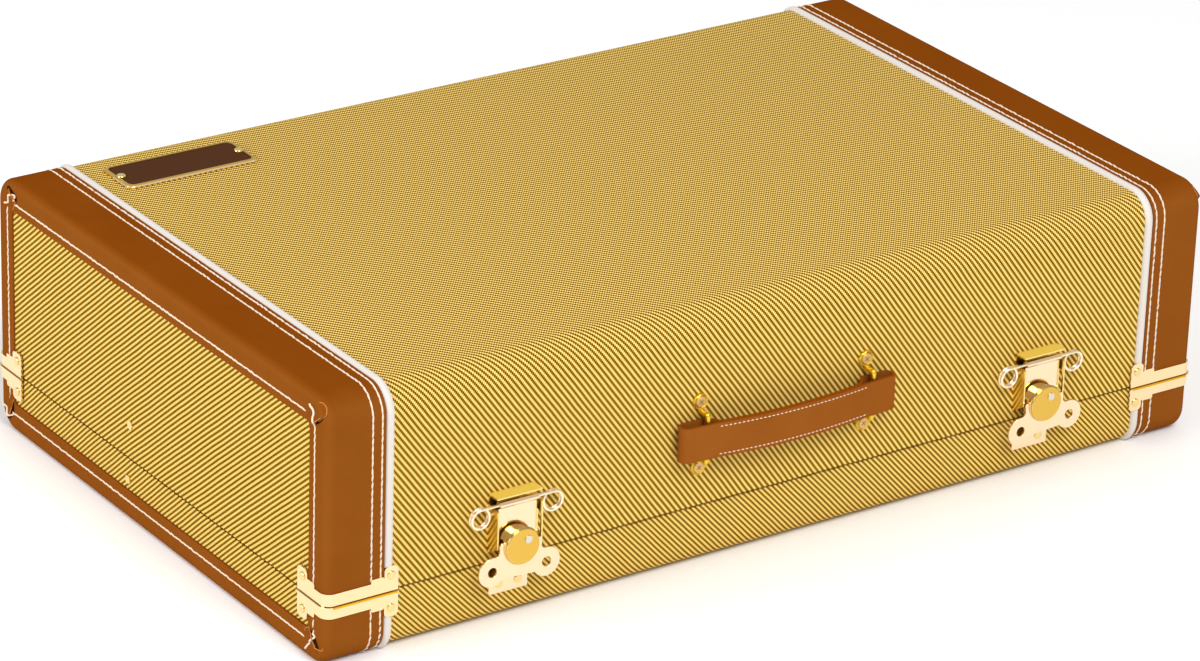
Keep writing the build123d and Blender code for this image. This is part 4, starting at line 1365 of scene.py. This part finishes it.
    def plate_border(self) -> None:
        """Runs a bright edge along the name plate's near side and round its two corners."""
        low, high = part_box("name_plate")
        left, right, y = low.x / MM, high.x / MM, low.y / MM
        turn = self.plate_radius
        bevel = self.plate_bevel * turn
        level = self.body.height + self.plate_edge
        path = [
            (left, y + self.plate_side, level), (left, y + turn, level), (left + bevel, y + bevel, level),
            (left + turn, y, level), (left + 2 * turn, y, level), (right - 2 * turn, y, level),
            (right - turn, y, level), (right - bevel, y + bevel, level),
        ]
        piece = self.cords.run("name_plate_edge", [path], self.edge_radius, Finish.WIRE_GOLD)
        settle(piece, "lid")


@dataclass(frozen=True)
class Lamp:
    """A square soft light, its places in millimetres, its size in metres and its power in watts."""

    name: str
    place: Point
    power: float
    size: float = 1.6
    aim: Point = (0.0, 0.0, 80.0)

    def light(self) -> None:
        """Adds the light to the studio."""
        data = bpy.data.lights.new(self.name, "AREA")
        data.size = self.size
        data.energy = self.power
        lamp = bpy.data.objects.new(self.name, data)
        lamp.location = Vector(self.place) * MM
        lamp.rotation_euler = (Vector(self.aim) - Vector(self.place)).to_track_quat("-Z", "Y").to_euler()
        bpy.context.scene.collection.objects.link(lamp)


@dataclass
class Studio:
    """Floor, light and camera: places in millimetres, angles in degrees."""

    place: Point = (-1771.8, -2551.9, 1465.1)
    turn: float = -34.784
    tilt: float = 24.247
    roll: float = 1.882
    lens: float = 162.74
    sensor: float = 36.0
    floor_half: float = 6000.0
    floor_level: float = -0.1
    sky: float = 0.6
    lamps: tuple[Lamp, ...] = (
        Lamp("key_light", (-450.0, -2700.0, 3000.0), 94.0), Lamp("fill_light", (-3000.0, 200.0, 1500.0), 46.0)
    )

    def floor(self) -> None:
        """Lays a pale floor just under the case."""
        half, level = self.floor_half, self.floor_level
        points = [(-half, -half, level), (half, -half, level), (half, half, level), (-half, half, level)]
        solid("floor", (points, [(0, 1, 2, 3)]), Finish.FLOOR)

    def world(self) -> None:
        """Lights the case evenly from a white sky."""
        world = bpy.data.worlds.new("studio")
        bpy.context.scene.world = world
        world.use_nodes = True
        tree = world.node_tree
        tree.nodes.clear()
        path = add(tree, "ShaderNodeLightPath")
        dome, seen = (
            add(tree, "ShaderNodeBackground", {"Color": paint("#FFFFFF"), "Strength": strength})
            for strength in (self.sky, 1.0)
        )
        mix = add(
            tree, "ShaderNodeMixShader",
            {0: path.outputs["Is Camera Ray"], 1: dome.outputs[0], 2: seen.outputs[0]},
        )
        add(tree, "ShaderNodeOutputWorld", {0: mix.outputs[0]})

    def camera(self) -> None:
        """Sets the camera where the case is seen from its front left, above."""
        data = bpy.data.cameras.new("camera")
        data.sensor_width = self.sensor
        data.lens = self.lens
        data.clip_start = 0.05
        data.clip_end = 50.0
        camera = bpy.data.objects.new("camera", data)
        turn = Matrix.Rotation(math.radians(self.turn), 4, "Z")
        tilt = Matrix.Rotation(math.radians(90 - self.tilt), 4, "X")
        roll = Matrix.Rotation(math.radians(self.roll), 4, "Z")
        camera.matrix_world = Matrix.Translation(Vector(self.place) * MM) @ turn @ tilt @ roll
        bpy.context.scene.collection.objects.link(camera)
        bpy.context.scene.camera = camera

    def build(self) -> None:
        """Sets everything round the case."""
        self.floor()
        self.world()
        for lamp in self.lamps:
            lamp.light()
        self.camera()
        scene = bpy.context.scene
        scene.view_settings.view_transform = "Standard"
        scene.render.film_transparent = False


def main() -> None:
    """Builds the case piece by piece."""
    logging.basicConfig(level=logging.INFO, format="%(name)s %(message)s")
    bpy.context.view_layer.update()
    body = CaseBody()
    stitches = StitchTree()
    cords = CordTree()
    for part in (
        Cloth(body), LeatherEnds(body, stitches, cords), Handle(body, stitches, cords),
        Hardware(body, cords), Studio(),
    ):
        part.build()
        log.info("%s built", type(part).__name__)


if __name__ == "__main__":
    main()
